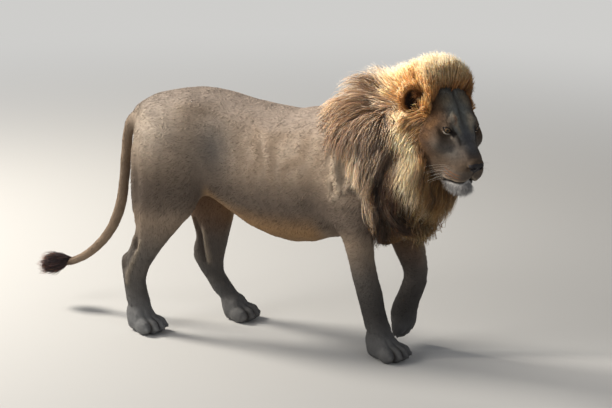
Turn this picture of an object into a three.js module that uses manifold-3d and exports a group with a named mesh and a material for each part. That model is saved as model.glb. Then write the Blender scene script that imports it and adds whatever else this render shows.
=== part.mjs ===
// A standing male lion at life size, for a still museum model. Millimetres, +Z up, +X the way the body faces,
// +Y the lion's left. The right fore paw and both hind paws bear the weight; the left fore paw is lifted in
// mid-stride, and the head is turned to the lion's right. Every form is the outline of the coat, hair tips
// and all. Most are lofts: rings threaded on a path, on the head with more rings between the named stations
// from a Catmull-Rom spline. Where two forms meet, one is cut back from the other by a thin gap.
import * as THREE from 'three';
import Module from 'manifold-3d';

const wasm = await Module();
wasm.setup();

// ---- driving dimensions ----
const JOINT_GAP = 0.4;             // clearance left all round where one form is cut by its neighbour
const SEAM = 0.2;                  // half of the gap between two lengths of one limb
const HEAD_YAW = -31;              // degrees: the head looks to the lion's right
const HEAD_PITCH = -19;            // and a little down
const HEAD_ROLL = -4;
const HEAD_SCALE = 1.08;
const NOSE_TIP = [897, -180, 919];
const EYE = { x: -160, y: 66, z: 81, radius: 18.5 };
const EAR = { x: -325, y: 121, z: 110, tall: 68, wide: 53, thick: 28, lean: 24, turn: 34, hollow: 0.8 };
const EAR_HOLLOW = { x: -285, y: 168, z: 138, long: 78, wide: 70, tall: 76 };   // the mane parts before the ear
const THROAT_RUFF = { x: 562, y: -25, z: 762, long: 172, wide: 218, tall: 218 };
const NOSE_PAD = { half: 33, up: 20, down: 27, deep: 30 };
const TAIL_RADIUS = { root: 42, upper: 29, middle: 25, lower: 18.5 };
const TAIL_SHARE = { thick: 0.12, half: 0.42, middle: 0.5, tuft: 0.87 };   // how far along the tail each comes
const TUFT_RADIUS = { neck: 15, widest: 42 };
const TOE = { long: 50, wide: 21.5, tall: 37, rise: 32, spread: 0.56, splay: 9, setBack: 0.36 };
const CLAW = { long: 24, radius: 5.5, droop: 32, out: 0.68, low: 0.2 };
const SIDES = { trunk: 24, neck: 24, head: 20, nose: 16, limb: 14, paw: 12, tail: 8, claw: 5 };
const DEG = Math.PI / 180;

// ---- colours ----
const finish = (color, roughness = 0.8) => new THREE.MeshStandardMaterial({ color, roughness, metalness: 0 });
const COAT = finish(0xa98b66);
const PALE_COAT = finish(0xb9a88f);
const MANE = finish(0x8a5a30);
const DARK_TUFT = finish(0x2e1d16);
const NOSE_LEATHER = finish(0x2a2422, 0.5);
const EYE_GLOBE = finish(0xb4782c, 0.15);
const HORN = finish(0x3a322c, 0.45);

// ---- lofts ----
const spline = (a, b, c, d, t) =>
  b + 0.5 * t * (c - a + t * (2 * a - 5 * b + 4 * c - d + t * (3 * (b - c) + d - a)));

// The stations with `steps` rings from each one to the next, every measure following the spline.
function between(stations, steps) {
  const rows = [];
  const last = stations.length - 1;
  const clamp = (k) => stations[Math.min(Math.max(k, 0), last)];
  for (let k = 0; k <= last * steps; k++) {
    const i = Math.min(Math.floor(k / steps), last - 1);
    const row = {};
    for (const key of Object.keys(stations[0])) {
      const four = [i - 1, i, i + 1, i + 2].map((n) => clamp(n)[key]);
      row[key] = spline(...four, k / steps - i);
    }
    rows.push(row);
  }
  return rows;
}

// One ring of a form: a rounded outline `half` wide to each side, `up` and `down` from its middle, in the
// plane square to the heading that yaw and pitch give. `square` is 2 for an ellipse and more for a fuller one.
function ring(row, sides, grow) {
  const { x, y = 0, z, yaw = 0, pitch = 0, half, up, down, square = 2.2 } = row;
  const run = Math.cos(pitch * DEG);
  const ahead = new THREE.Vector3(Math.cos(yaw * DEG) * run, Math.sin(yaw * DEG) * run, Math.sin(pitch * DEG));
  const across = new THREE.Vector3(-Math.sin(yaw * DEG), Math.cos(yaw * DEG), 0);
  const rise = new THREE.Vector3().crossVectors(ahead, across);
  const full = (v) => Math.sign(v) * Math.abs(v) ** (2 / square);
  const points = [];
  for (let i = 0; i < sides; i++) {
    const angle = (2 * Math.PI * i) / sides;
    const s = Math.sin(angle);
    points.push(new THREE.Vector3(x, y, z)
      .addScaledVector(across, full(Math.cos(angle)) * (half + grow))
      .addScaledVector(rise, full(s) * ((s > 0 ? up : down) + grow)));
  }
  return { points, centre: new THREE.Vector3(x, y, z), ahead };
}

// The closed solid through all the rings, with a flat fan over each end. `grow` swells it all round.
function loft(rows, sides, grow = 0) {
  const rings = rows.map((row) => ring(row, sides, grow));
  const position = [];
  const index = [];
  const end = rings.length - 1;
  rings.forEach(({ points, ahead }, k) => {
    const push = k === 0 ? -grow : k === end ? grow : 0;
    points.forEach((p) => position.push(...p.addScaledVector(ahead, push).toArray()));
  });
  for (let k = 0; k < end; k++) {
    for (let i = 0; i < sides; i++) {
      const j = (i + 1) % sides;
      const [a, b, c, d] = [k * sides + i, k * sides + j, (k + 1) * sides + j, (k + 1) * sides + i];
      index.push(a, b, c, a, c, d);
    }
  }
  [0, end].forEach((k) => {
    const hub = position.length / 3;
    const { centre, ahead } = rings[k];
    position.push(...centre.clone().addScaledVector(ahead, k === 0 ? -grow : grow).toArray());
    for (let i = 0; i < sides; i++) {
      const [p, q] = [k * sides + i, k * sides + ((i + 1) % sides)];
      index.push(...(k === 0 ? [hub, q, p] : [hub, p, q]));
    }
  });
  const geometry = new THREE.BufferGeometry();
  geometry.setAttribute('position', new THREE.Float32BufferAttribute(position, 3));
  geometry.setIndex(index);
  return geometry;
}

// ---- solids ----
function solid(geometry) {
  const vertProperties = new Float32Array(geometry.attributes.position.array);
  const triVerts = new Uint32Array(geometry.index.array);
  return new wasm.Manifold(new wasm.Mesh({ numProp: 3, vertProperties, triVerts }));
}

function toGeometry(manifold) {
  const { vertProperties, triVerts, numProp } = manifold.getMesh();
  const geometry = new THREE.BufferGeometry();
  const position = new Float32Array((vertProperties.length / numProp) * 3);
  for (let i = 0; i < position.length; i++) {
    position[i] = vertProperties[Math.floor(i / 3) * numProp + (i % 3)];
  }
  geometry.setAttribute('position', new THREE.BufferAttribute(position, 3));
  geometry.setIndex(new THREE.BufferAttribute(new Uint32Array(triVerts), 1));
  geometry.computeVertexNormals();
  return geometry;
}

const lion = new THREE.Group();
lion.name = 'lion';

function add(name, manifold, material) {
  const mesh = new THREE.Mesh(toGeometry(manifold), material);
  mesh.name = name;
  lion.add(mesh);
}

// What is left of a body when the tools are cut away, without the crumbs that a cut may leave beside it.
function cut(body, ...tools) {
  const left = tools.reduce((rest, tool) => rest.subtract(tool), body);
  return left.decompose().reduce((best, piece) => (piece.volume() > best.volume() ? piece : best));
}
const join = (first, ...others) => others.reduce((sum, other) => sum.add(other), first);

// ---- trunk: slices across the body from the tail root to the shoulder ----
const slice = ([x, top, bottom, half, waist, square = 2.3]) =>
  ({ x, z: waist, up: top - waist, down: waist - bottom, half, square });
const TRUNK = Object.values({
  tailRoot: [-782, 988, 880, 40, 938],
  rump: [-748, 1016, 790, 100, 915],
  buttock: [-690, 1047, 690, 138, 880],
  croup: [-600, 1071, 622, 156, 850],
  hip: [-500, 1086, 604, 164, 850],
  loin: [-410, 1094, 598, 162, 850],
  flank: [-320, 1080, 548, 170, 815],
  lastRib: [-220, 1062, 497, 184, 770],
  ribs: [-110, 1046, 460, 194, 745],
  girth: [0, 1042, 448, 196, 745],
  backOfShoulder: [90, 1066, 458, 194, 760],
  shoulder: [200, 1165, 500, 190, 790],
}).map(slice);
const trunkForm = (grow) => solid(loft(TRUNK, SIDES.trunk, grow));

// ---- neck and mane: rings that turn from the shoulder to the back of the face ----
const MANE_RINGS = [
  { x: 200.4, y: 0, z: 850, yaw: 0, pitch: 0, half: 200, up: 318, down: 330, square: 2.2 },
  { x: 290, y: 0, z: 865, yaw: -2, pitch: -1, half: 246, up: 358, down: 365, square: 2.2 },
  { x: 390, y: -2, z: 885, yaw: -6, pitch: -2, half: 262, up: 366, down: 402, square: 2.2 },
  { x: 490, y: -8, z: 915, yaw: -12, pitch: -3, half: 260, up: 376, down: 410, square: 2.2 },
  { x: 560, y: 2, z: 1000, yaw: -20, pitch: -10, half: 246, up: 345, down: 428, square: 2.2 },
  { x: 612, y: -10, z: 1045, yaw: -27, pitch: -16, half: 232, up: 310, down: 420, square: 2.2 },
  { x: 652, y: -32, z: 1050, yaw: -31, pitch: -19, half: 212, up: 292, down: 380, square: 2.2 },
  { x: 682, y: -50, z: 1036, yaw: -31, pitch: -19, half: 172, up: 248, down: 320, square: 2.2 },
  { x: 703, y: -62, z: 1020, yaw: -31, pitch: -19, half: 136, up: 165, down: 240, square: 2.2 },
];

// ---- head: slices from the nape to the nose, in the head's own frame with the nose tip at its origin ----
const HEAD = Object.values({
  occiput: [-366, 176, -140, 112, 20],
  crown: [-315, 196, -158, 127, 14, 2.5],
  forehead: [-258, 188, -163, 129, 6, 2.6],
  brow: [-208, 158, -163, 118, 0, 2.6],
  eyes: [-162, 112, -160, 98, -12],
  bridge: [-115, 74, -157, 77, -36],
  whiskerPads: [-75, 52, -155, 71, -46],
  lips: [-40, 38, -151, 64, -50],
  muzzleFront: [-17, 26, -137, 48, -44],
  belowNose: [-6, 12, -98, 28, -38],
}).map(slice);
const HEAD_STEPS = 2;
const headPlace = new THREE.Matrix4().compose(
  new THREE.Vector3(...NOSE_TIP),
  new THREE.Quaternion().setFromEuler(
    new THREE.Euler(HEAD_ROLL * DEG, -HEAD_PITCH * DEG, HEAD_YAW * DEG, 'ZYX')),
  new THREE.Vector3(HEAD_SCALE, HEAD_SCALE, HEAD_SCALE));
const onHead = (geometry) => solid(geometry.applyMatrix4(headPlace));
const headForm = (grow) => onHead(loft(between(HEAD, HEAD_STEPS), SIDES.head, grow));

// The same surface with one point where three.js writes several, and without the slivers at its poles.
const merged = (geometry) => {
  const flat = new Map();
  const position = geometry.attributes.position;
  const kept = [];
  const order = [];
  for (let i = 0; i < position.count; i++) {
    const exact = [position.getX(i), position.getY(i), position.getZ(i)];
    const p = exact.map((v) => Math.round(v * 1e4) / 1e4 + 0);
    const key = p.join(' ');
    if (!flat.has(key)) {
      flat.set(key, kept.length / 3);
      kept.push(...p);
    }
    order.push(flat.get(key));
  }
  const source = geometry.index ? [...geometry.index.array].map((i) => order[i]) : order;
  const index = [];
  for (let i = 0; i < source.length; i += 3) {
    const [a, b, c] = source.slice(i, i + 3);
    if (a !== b && b !== c && c !== a) index.push(a, b, c);
  }
  const welded = new THREE.BufferGeometry();
  welded.setAttribute('position', new THREE.Float32BufferAttribute(kept, 3));
  welded.setIndex(index);
  return welded;
};
const ball = (radius, across = 12, rise = 8) => merged(new THREE.SphereGeometry(radius, across, rise));

function eye(side, grow) {
  return onHead(ball(EYE.radius + grow, 12, 7).translate(EYE.x, side * EYE.y, EYE.z));
}

// The ear is a leaning oval cup that opens forwards and outwards.
function earShell(side, grow) {
  const shell = ball(1, 12, 8).scale(EAR.thick + grow, EAR.wide + grow, EAR.tall + grow);
  return onHead(shell.rotateX(-side * EAR.lean * DEG).rotateZ(side * EAR.turn * DEG)
    .translate(EAR.x, side * EAR.y, EAR.z));
}
function ear(side) {
  const bowl = ball(1, 10, 6).scale(EAR.thick, EAR.wide * EAR.hollow, EAR.tall * EAR.hollow)
    .translate(EAR.thick * 0.75, 0, EAR.tall * 0.08);
  const placed = bowl.rotateX(-side * EAR.lean * DEG).rotateZ(side * EAR.turn * DEG)
    .translate(EAR.x, side * EAR.y, EAR.z);
  return cut(earShell(side, 0), onHead(placed));
}

// The bare nose: a flat-fronted pad, drawn in behind and rounded off in front.
function nosePad(grow) {
  const { half, up, down, deep } = NOSE_PAD;
  const rows = [
    { x: -deep, z: 6, half: half - 8, up: up - 2, down: down - 8, square: 2.4 },
    { x: -deep / 2, z: 2, half, up, down, square: 2.4 },
    { x: -3, z: 0, half: half - 5, up: up - 5, down: down - 3, square: 2.4 },
    { x: 3, z: -3, half: half - 17, up: up - 12, down: down - 12, square: 2.4 },
  ];
  return onHead(loft(rows, SIDES.nose, grow));
}

// ---- limbs: level slices, each with its height, back, front, distance from the middle and half width ----
const level = ([z, back, front, y, half]) =>
  ({ x: (back + front) / 2, y, z, pitch: -90, half, up: (front - back) / 2, down: (front - back) / 2 });

const LIMBS = {
  right_hind: {
    upper: [
      [965, -690, -560, -95, 45], [900, -745, -490, -112, 72], [810, -762, -432, -122, 84],
      [710, -766, -408, -124, 84], [620, -764, -420, -128, 78], [550, -758, -462, -134, 68],
      [490, -748, -505, -142, 58],
    ],
    lower: [
      [490, -748, -505, -142, 58], [430, -745, -556, -149, 50], [375, -762, -600, -155, 43],
      [325, -797, -632, -160, 39], [290, -803, -655, -162, 37], [230, -792, -675, -164, 37],
      [170, -780, -670, -165, 43], [120, -770, -655, -165, 50],
    ],
    paw: { x: -712, y: -165, turn: -16, heel: -30, toe: 134, top: 119.6, slope: 70, half: 58 },
  },
  left_hind: {
    upper: [
      [965, -660, -530, 95, 45], [900, -725, -460, 112, 72], [810, -735, -395, 122, 84],
      [710, -722, -362, 124, 84], [620, -690, -345, 128, 78], [550, -650, -360, 134, 68],
      [490, -615, -390, 142, 58],
    ],
    lower: [
      [490, -615, -390, 142, 58], [430, -602, -406, 149, 50], [370, -590, -424, 155, 43],
      [310, -600, -440, 160, 39], [262, -610, -452, 162, 38], [205, -574, -454, 164, 37],
      [155, -530, -440, 165, 43], [115, -500, -418, 165, 50],
    ],
    paw: { x: -459, y: 165, turn: -4, heel: 25, toe: 171, top: 114.6, slope: 62, half: 58 },
  },
  right_fore: {
    upper: [
      [700, 175, 400, -140, 62], [640, 205, 412, -136, 66], [580, 238, 410, -130, 64],
      [520, 256, 400, -122, 60],
    ],
    lower: [
      [520, 256, 400, -122, 60], [430, 277, 399, -110, 54], [350, 291, 412, -100, 52],
      [285, 305, 430, -92, 51], [220, 321, 437, -86, 51], [165, 336, 448, -83, 53],
      [120, 346, 470, -83, 56],
    ],
    paw: { x: 408, y: -83, turn: -18, heel: -30, toe: 152, top: 119.6, slope: 78, half: 60 },
  },
  left_fore: {
    upper: [
      [700, 255, 450, 122, 62], [640, 285, 475, 118, 64], [580, 318, 505, 112, 62],
      [520, 350, 524, 108, 60],
    ],
    lower: [
      [520, 350, 524, 108, 60], [460, 382, 540, 105, 56], [400, 414, 553, 103, 52],
      [350, 442, 560, 100, 49], [305, 450, 552, 98, 47],
    ],
    paw: {
      hanging: [
        [305, 450, 552, 98, 47], [250, 428, 533, 98, 50], [205, 406, 514, 98, 56],
        [160, 392, 504, 98, 60], [115, 394, 500, 98, 60], [80, 412, 486, 98, 52],
      ],
      aim: 100, x: 436, y: 98, z: 42, half: 60,
    },
  },
};

const limbForm = (stations, grow = 0) => {
  const rows = stations.map(level);
  rows[0].z -= SEAM;
  rows[rows.length - 1].z += SEAM;
  return solid(loft(rows, SIDES.limb, grow));
};

// Four toes side by side, the outer two set back, in a paw's own frame with its toe tips at the origin.
const TOE_NUMBERS = [1, 2, 3, 4];
const toePlace = (paw, number) => {
  const n = number - 2.5;                                    // from the middle of the paw, in toes
  const slot = new THREE.Matrix4().makeRotationZ(n * TOE.splay * DEG);
  slot.setPosition(-TOE.long * (1 + (Math.abs(n) > 1 ? TOE.setBack : 0)), n * paw.half * TOE.spread, 0);
  return new THREE.Matrix4().multiplyMatrices(paw.place, slot);
};
const toeForm = (paw, number, grow) => solid(merged(new THREE.SphereGeometry(1, 8, 5))
  .scale(TOE.long + grow, TOE.wide + grow, TOE.tall + grow).applyMatrix4(toePlace(paw, number)));
const FLOOR = { wide: 3000, deep: 400 };
const floor = solid(merged(new THREE.BoxGeometry(FLOOR.wide, FLOOR.wide, FLOOR.deep))
  .translate(0, 0, -FLOOR.deep / 2));

// A standing paw: slices from heel to toes over a flat sole, and the toes proud along its front edge.
function standingPaw(paw) {
  const { heel, toe, top, slope, half } = paw;
  const long = toe - heel;
  const rows = [
    { x: heel - 16, z: 84, half: half * 0.6, up: top - 86, down: 44, square: 2.4 },
    { x: heel + 6, z: 52, half: half * 0.84, up: top - 52, down: 52, square: 2.6 },
    { x: heel + long * 0.38, z: 38, half: half * 0.98, up: top - 40, down: 42, square: 2.6 },
    { x: heel + long * 0.6, z: 32, half: half * 0.96, up: slope - 26, down: 36, square: 2.6 },
    { x: heel + long * 0.78, z: 28, half: half * 0.82, up: slope - 48, down: 30, square: 2.4 },
  ].map((row) => ({ y: 0, ...row }));
  const toes = TOE_NUMBERS.map((number) => toeForm(paw, number, 0));
  return cut(join(solid(loft(rows, SIDES.paw).applyMatrix4(paw.stand)), ...toes), floor);
}

// The lifted paw hangs from the wrist, its toes pointing down and its sole turned back.
const hangingPaw = (paw) =>
  join(limbForm(paw.hanging), ...TOE_NUMBERS.map((number) => toeForm(paw, number, 0)));

// A claw: a horn cone that leaves its toe low on the front, drooping, cut off where it meets the toe.
function claw(paw, number) {
  const cone = merged(new THREE.ConeGeometry(CLAW.radius, CLAW.long, SIDES.claw)).rotateZ(-90 * DEG)
    .rotateY(CLAW.droop * DEG).translate(TOE.long * CLAW.out + CLAW.long / 2, 0, -TOE.tall * CLAW.low);
  return cut(solid(cone.applyMatrix4(toePlace(paw, number))), toeForm(paw, number, JOINT_GAP), floor);
}

// A standing paw turns about its ankle; a paw's place is that of its toe tips.
for (const { paw } of Object.values(LIMBS)) {
  if (paw.hanging) {
    paw.place = new THREE.Matrix4().makeRotationY(paw.aim * DEG).setPosition(paw.x, paw.y, paw.z);
  } else {
    paw.stand = new THREE.Matrix4().makeRotationZ(paw.turn * DEG).setPosition(paw.x, paw.y, 0);
    const ahead = new THREE.Matrix4().makeTranslation(paw.toe, 0, TOE.rise);
    paw.place = new THREE.Matrix4().multiplyMatrices(paw.stand, ahead);
  }
}

// ---- tail: a hanging curve that swings back, with the dark tuft on its end ----
const TAIL_PATH = new THREE.CatmullRomCurve3([
  [-768, 0, 944], [-812, 0, 908], [-840, 0, 840], [-853, 0, 740], [-866, 0, 620], [-888, 0, 500],
  [-930, 0, 402], [-998, 0, 314], [-1083, 0, 245], [-1180, 0, 205], [-1300, 0, 190],
].map((p) => new THREE.Vector3(...p)));
function tailLength(from, to, count, radiusAt) {
  const rows = [];
  for (let k = 0; k <= count; k++) {
    const t = from + ((to - from) * k) / count;
    const p = TAIL_PATH.getPointAt(t);
    const heading = TAIL_PATH.getTangentAt(t);
    const radius = radiusAt(t, k / count);
    const pitch = Math.atan2(heading.z, -heading.x) / DEG;
    rows.push({ x: p.x, y: p.y, z: p.z, yaw: 180, pitch, half: radius, up: radius, down: radius, square: 2 });
  }
  return solid(loft(rows, SIDES.tail));
}

// ---- the forms, cut to meet each other ----
const grownLimbs = Object.values(LIMBS).flatMap(({ upper, lower }) =>
  [limbForm(upper, JOINT_GAP), limbForm(lower, JOINT_GAP)]);
const throatRuff = solid(ball(1, 12, 9).scale(THROAT_RUFF.long, THROAT_RUFF.wide, THROAT_RUFF.tall)
  .translate(THROAT_RUFF.x, THROAT_RUFF.y, THROAT_RUFF.z));
const maneForm = join(solid(loft(MANE_RINGS, SIDES.neck)), throatRuff);
const sides = { right: -1, left: 1 };
const grownEars = Object.values(sides).map((side) => earShell(side, JOINT_GAP));
const grownEyes = Object.values(sides).map((side) => eye(side, JOINT_GAP));

const earHollows = Object.values(sides).map((side) =>
  onHead(ball(1, 10, 7).scale(EAR_HOLLOW.long, EAR_HOLLOW.wide, EAR_HOLLOW.tall)
    .translate(EAR_HOLLOW.x, side * EAR_HOLLOW.y, EAR_HOLLOW.z)));

add('trunk', cut(trunkForm(0), ...grownLimbs), COAT);
add('neck_mane', cut(maneForm, headForm(JOINT_GAP), ...grownEars, ...earHollows, ...grownLimbs), MANE);
add('head', cut(headForm(0), ...grownEars, ...grownEyes, nosePad(JOINT_GAP)), COAT);
add('nose', nosePad(0), NOSE_LEATHER);
for (const [name, side] of Object.entries(sides)) {
  add(`${name}_ear`, ear(side), MANE);
  add(`${name}_eye`, eye(side, 0), EYE_GLOBE);
}

const upperNames = { hind: 'thigh', fore: 'upper_arm' };
const lowerNames = { hind: 'shank', fore: 'forearm' };
for (const [leg, parts] of Object.entries(LIMBS)) {
  const [side, end] = leg.split('_');
  add(`${side}_${upperNames[end]}`, limbForm(parts.upper), COAT);
  add(`${side}_${lowerNames[end]}`, limbForm(parts.lower), COAT);
  add(`${leg}_paw`, parts.paw.hanging ? hangingPaw(parts.paw) : standingPaw(parts.paw), PALE_COAT);
  for (const number of TOE_NUMBERS) add(`${leg}_claw_${number}`, claw(parts.paw, number), HORN);
}

const TAIL_RINGS = { upper: 10, lower: 10, tuft: 8 };
const radiusAlong = (t) => {
  const { root, upper, middle, lower } = TAIL_RADIUS;
  const { thick, middle: half, tuft } = TAIL_SHARE;
  if (t < thick) return THREE.MathUtils.mapLinear(t, 0, thick, root, upper);
  if (t < half) return THREE.MathUtils.mapLinear(t, thick, half, upper, middle);
  return THREE.MathUtils.mapLinear(t, half, tuft, middle, lower);
};
// The tuft is a pear: narrow where it leaves the tail, widest three quarters of the way out, round at its end.
const tuftRadius = (t, part) => {
  const { neck, widest } = TUFT_RADIUS;
  const swell = Math.sin(Math.PI * Math.min(1, 0.05 + 0.9 * part ** 1.6));
  return neck + (widest - neck) * Math.max(swell, 0) ** 0.8;
};
const SHARE_GAP = 0.0005;          // between two lengths of the tail, as a share of its whole
const upperTail = tailLength(0, TAIL_SHARE.half, TAIL_RINGS.upper, radiusAlong);
add('tail_upper', cut(upperTail, trunkForm(JOINT_GAP), ...grownLimbs), COAT);
const lowerTail = tailLength(TAIL_SHARE.half + SHARE_GAP, TAIL_SHARE.tuft, TAIL_RINGS.lower, radiusAlong);
add('tail_lower', lowerTail, COAT);
add('tail_tuft', tailLength(TAIL_SHARE.tuft + SHARE_GAP, 1, TAIL_RINGS.tuft, tuftRadius), DARK_TUFT);

// The origin stands on the floor under the middle of the lion's box.
const box = new THREE.Box3().setFromObject(lion);
lion.position.set(-(box.min.x + box.max.x) / 2, -(box.min.y + box.max.y) / 2, -box.min.z);

export default lion;
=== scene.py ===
import math
import bpy
import numpy as np
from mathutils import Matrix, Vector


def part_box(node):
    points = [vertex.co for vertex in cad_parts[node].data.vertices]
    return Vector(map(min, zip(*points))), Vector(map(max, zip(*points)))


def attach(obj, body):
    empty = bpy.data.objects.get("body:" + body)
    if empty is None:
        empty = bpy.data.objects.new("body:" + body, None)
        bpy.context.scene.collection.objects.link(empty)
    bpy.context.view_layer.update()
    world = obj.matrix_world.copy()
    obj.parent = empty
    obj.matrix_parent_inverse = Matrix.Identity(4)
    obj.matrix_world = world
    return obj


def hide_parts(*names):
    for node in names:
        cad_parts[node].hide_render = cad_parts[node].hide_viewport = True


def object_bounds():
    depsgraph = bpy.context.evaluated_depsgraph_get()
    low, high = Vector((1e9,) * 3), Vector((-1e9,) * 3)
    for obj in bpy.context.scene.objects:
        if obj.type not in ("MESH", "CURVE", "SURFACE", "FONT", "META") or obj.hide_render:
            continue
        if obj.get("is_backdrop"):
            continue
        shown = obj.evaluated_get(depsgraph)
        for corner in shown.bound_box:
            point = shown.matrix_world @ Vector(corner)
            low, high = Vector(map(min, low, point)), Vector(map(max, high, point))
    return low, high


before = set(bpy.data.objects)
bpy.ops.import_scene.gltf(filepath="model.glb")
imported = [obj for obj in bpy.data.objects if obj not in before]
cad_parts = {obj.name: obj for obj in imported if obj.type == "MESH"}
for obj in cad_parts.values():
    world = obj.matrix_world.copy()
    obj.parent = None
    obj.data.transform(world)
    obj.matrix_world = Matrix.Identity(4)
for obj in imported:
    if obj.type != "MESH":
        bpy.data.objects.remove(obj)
import openvdb

# ---- The studio ----
# The lion stands on a plain pale floor under soft lamps, seen from its right, a little ahead and above.
# `place` puts the millimetre measures of the lion's own frame (middle of the back, floor) into the room.
cad_low, cad_high = (np.array(v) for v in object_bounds())
scene = bpy.context.scene


def turned(yaw, pitch, roll=0.0):
    """Matrix whose columns are ahead, left and up of a frame turned by yaw, raised by pitch, then rolled."""
    turns = (math.radians(angle) for angle in (yaw, pitch, roll))
    (cy, sy), (cp, sp), (cr, sr) = ((math.cos(turn), math.sin(turn)) for turn in turns)
    return (np.array([[cy, -sy, 0], [sy, cy, 0], [0, 0, 1]])
            @ np.array([[cp, 0, -sp], [0, 1, 0], [sp, 0, cp]])
            @ np.array([[1, 0, 0], [0, cr, -sr], [0, sr, cr]]))


HEAD_TURN = turned(-31, -19, -4)
HEAD_SCALE = 1.08
EYE_MIDDLE = (-160, 66, 81)
NOSE_IN_LION = np.array([897, -180, 919]) / 1000
eyes_between = sum((np.array(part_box(n)[0]) + np.array(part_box(n)[1])) / 4 for n in ("right_eye", "left_eye"))
nose_tip = eyes_between - HEAD_TURN @ np.array([EYE_MIDDLE[0], 0, EYE_MIDDLE[2]]) * HEAD_SCALE / 1000
lion_origin = nose_tip - NOSE_IN_LION


def place(x, y, z):
    return lion_origin + np.array([x, y, z]) / 1000


# how wide the view is at the lion and how far off it is seen (m), from its right, a little ahead and above
VIEW_WIDTH, DISTANCE = 2.6608696, 14.0
AZIMUTH, ELEVATION = math.radians(25.0), math.radians(15.0)
LOOK_AT = place(0, 53.6, 600)
level = math.cos(ELEVATION)
to_camera = np.array([math.sin(AZIMUTH) * level, -math.cos(AZIMUTH) * level, math.sin(ELEVATION)])
camera = bpy.data.objects.new("camera", bpy.data.cameras.new("camera"))
camera.data.sensor_width = 36.0
camera.data.lens = DISTANCE / VIEW_WIDTH * camera.data.sensor_width
camera.data.clip_end = 100.0
camera.location = LOOK_AT + to_camera * DISTANCE
camera.rotation_euler = (math.pi / 2 - ELEVATION, 0, AZIMUTH)
scene.collection.objects.link(camera)
scene.camera = camera
scene.view_settings.view_transform = "Standard"


class Shader:
    """A material's nodes: node() makes any node, and value() its output as a number to reckon with."""

    def __init__(self, name):
        self.material = bpy.data.materials.new(name)
        self.material.use_nodes = True
        self.tree = self.material.node_tree
        self.surface = self.tree.nodes["Principled BSDF"]

    def node(self, kind, settings=(), stops=None, **sockets):
        made = self.tree.nodes.new("ShaderNode" + kind)
        for name, value in dict(settings).items():
            setattr(made, name, value)
        if stops:
            ramp = made.color_ramp
            while len(ramp.elements) < len(stops):
                ramp.elements.new(0.5)
            for element, (where, colour) in zip(ramp.elements, stops):
                element.position, element.color = where, colour
        for name, value in sockets.items():
            key = int(name[1:]) if name[1:].isdigit() else name.replace("_", " ")
            self.put(made.inputs[key], value)
        return made

    def put(self, socket, value):
        if isinstance(value, Value):
            self.tree.links.new(value.socket, socket)
        elif isinstance(value, bpy.types.NodeSocket):
            self.tree.links.new(value, socket)
        else:
            socket.default_value = value

    def value(self, kind, output, settings=(), stops=None, **sockets):
        return Value(self, self.node(kind, settings, stops, **sockets).outputs[output])

    def blend(self, low, high, factor):
        """Colour mix: sockets 6 and 7 are the two colours, 0 the factor."""
        return self.node("Mix", {"data_type": "RGBA"}, i0=factor, i6=low, i7=high).outputs[2]

    def here(self):
        return self.node("TexCoord").outputs["Object"]

    def number(self, name):
        """The number that the mesh carries under this name."""
        return self.value("Attribute", "Fac", {"attribute_name": name})

    def scaled(self, colour, amount):
        return self.node("VectorMath", {"operation": "SCALE"}, i0=colour, i3=amount).outputs[0]

    def painted(self, amount):
        """The colour painted on the mesh, times the amount."""
        return self.scaled(self.node("Attribute", {"attribute_name": "coat"}).outputs["Color"], amount)

    def finish(self, **sockets):
        for name, value in sockets.items():
            self.put(self.surface.inputs[name.replace("_", " ")], value)
        return self.material


class Value:
    """A number socket whose arithmetic adds Math nodes."""

    def __init__(self, shader, socket):
        self.shader, self.socket = shader, socket

    def _math(self, operation, first, second=0.0):
        return self.shader.value("Math", 0, {"operation": operation}, i0=first, i1=second)

    def __add__(self, other):
        return self._math("ADD", self, other)

    def __sub__(self, other):
        return self._math("SUBTRACT", self, other)

    def __rsub__(self, other):
        return self._math("SUBTRACT", other, self)

    def __mul__(self, other):
        return self._math("MULTIPLY", self, other)

    __radd__, __rmul__ = __add__, __mul__


FLOOR_TONES, FAR_TONE = ((0.56, 0.555, 0.54, 1), (0.60, 0.595, 0.58, 1)), (0.62, 0.615, 0.60, 1)
FLOOR_REACH, NEAR, FAR = 30, 2.6, 6.5
floor_mesh = bpy.data.meshes.new("floor")
corners = [(x * FLOOR_REACH, y * FLOOR_REACH, 0) for x, y in ((-1, -1), (1, -1), (1, 1), (-1, 1))]
floor_mesh.from_pydata(corners, [], [(0, 1, 2, 3)])
floor = bpy.data.objects.new("floor", floor_mesh)
scene.collection.objects.link(floor)
floor_shader = Shader("pale floor")
grain = floor_shader.value("TexNoise", 0, Scale=3.0, Detail=3.0)
away = floor_shader.value("VectorMath", 1, {"operation": "LENGTH"}, i0=floor_shader.here())
fade = floor_shader.value("MapRange", 0, {"interpolation_type": "SMOOTHSTEP"}, i0=away, i1=NEAR, i2=FAR)
seen = floor_shader.value("LightPath", "Is Camera Ray")
glow = floor_shader.node("Emission", Color=FAR_TONE, Strength=1.0)
floor_shader.finish(Base_Color=floor_shader.blend(*FLOOR_TONES, grain), Roughness=0.9)
both = floor_shader.node("MixShader", i0=fade * seen, i1=floor_shader.surface.outputs[0], i2=glow.outputs[0])
floor_shader.put(floor_shader.tree.nodes["Material Output"].inputs["Surface"], both.outputs[0])
floor_mesh.materials.append(floor_shader.material)
floor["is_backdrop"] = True

room = bpy.data.worlds.new("room")
room.use_nodes = True
sky = room.node_tree.nodes["Background"]
sky.inputs["Color"].default_value = (0.80, 0.82, 0.86, 1)
sky.inputs["Strength"].default_value = 0.29
scene.world = room


def lamp(name, kind, where, at, power, colour):
    """A lamp of the given kind and power that stands at `where` and points at `at`."""
    made = bpy.data.objects.new(name, bpy.data.lights.new(name, kind))
    made.data.energy, made.data.color, made.location = power, colour, where
    aim = np.array(at) - np.array(where)
    made.rotation_euler = (math.atan2(math.hypot(aim[0], aim[1]), -aim[2]), 0, math.atan2(-aim[0], aim[1]))
    scene.collection.objects.link(made)
    return made.data


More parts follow.
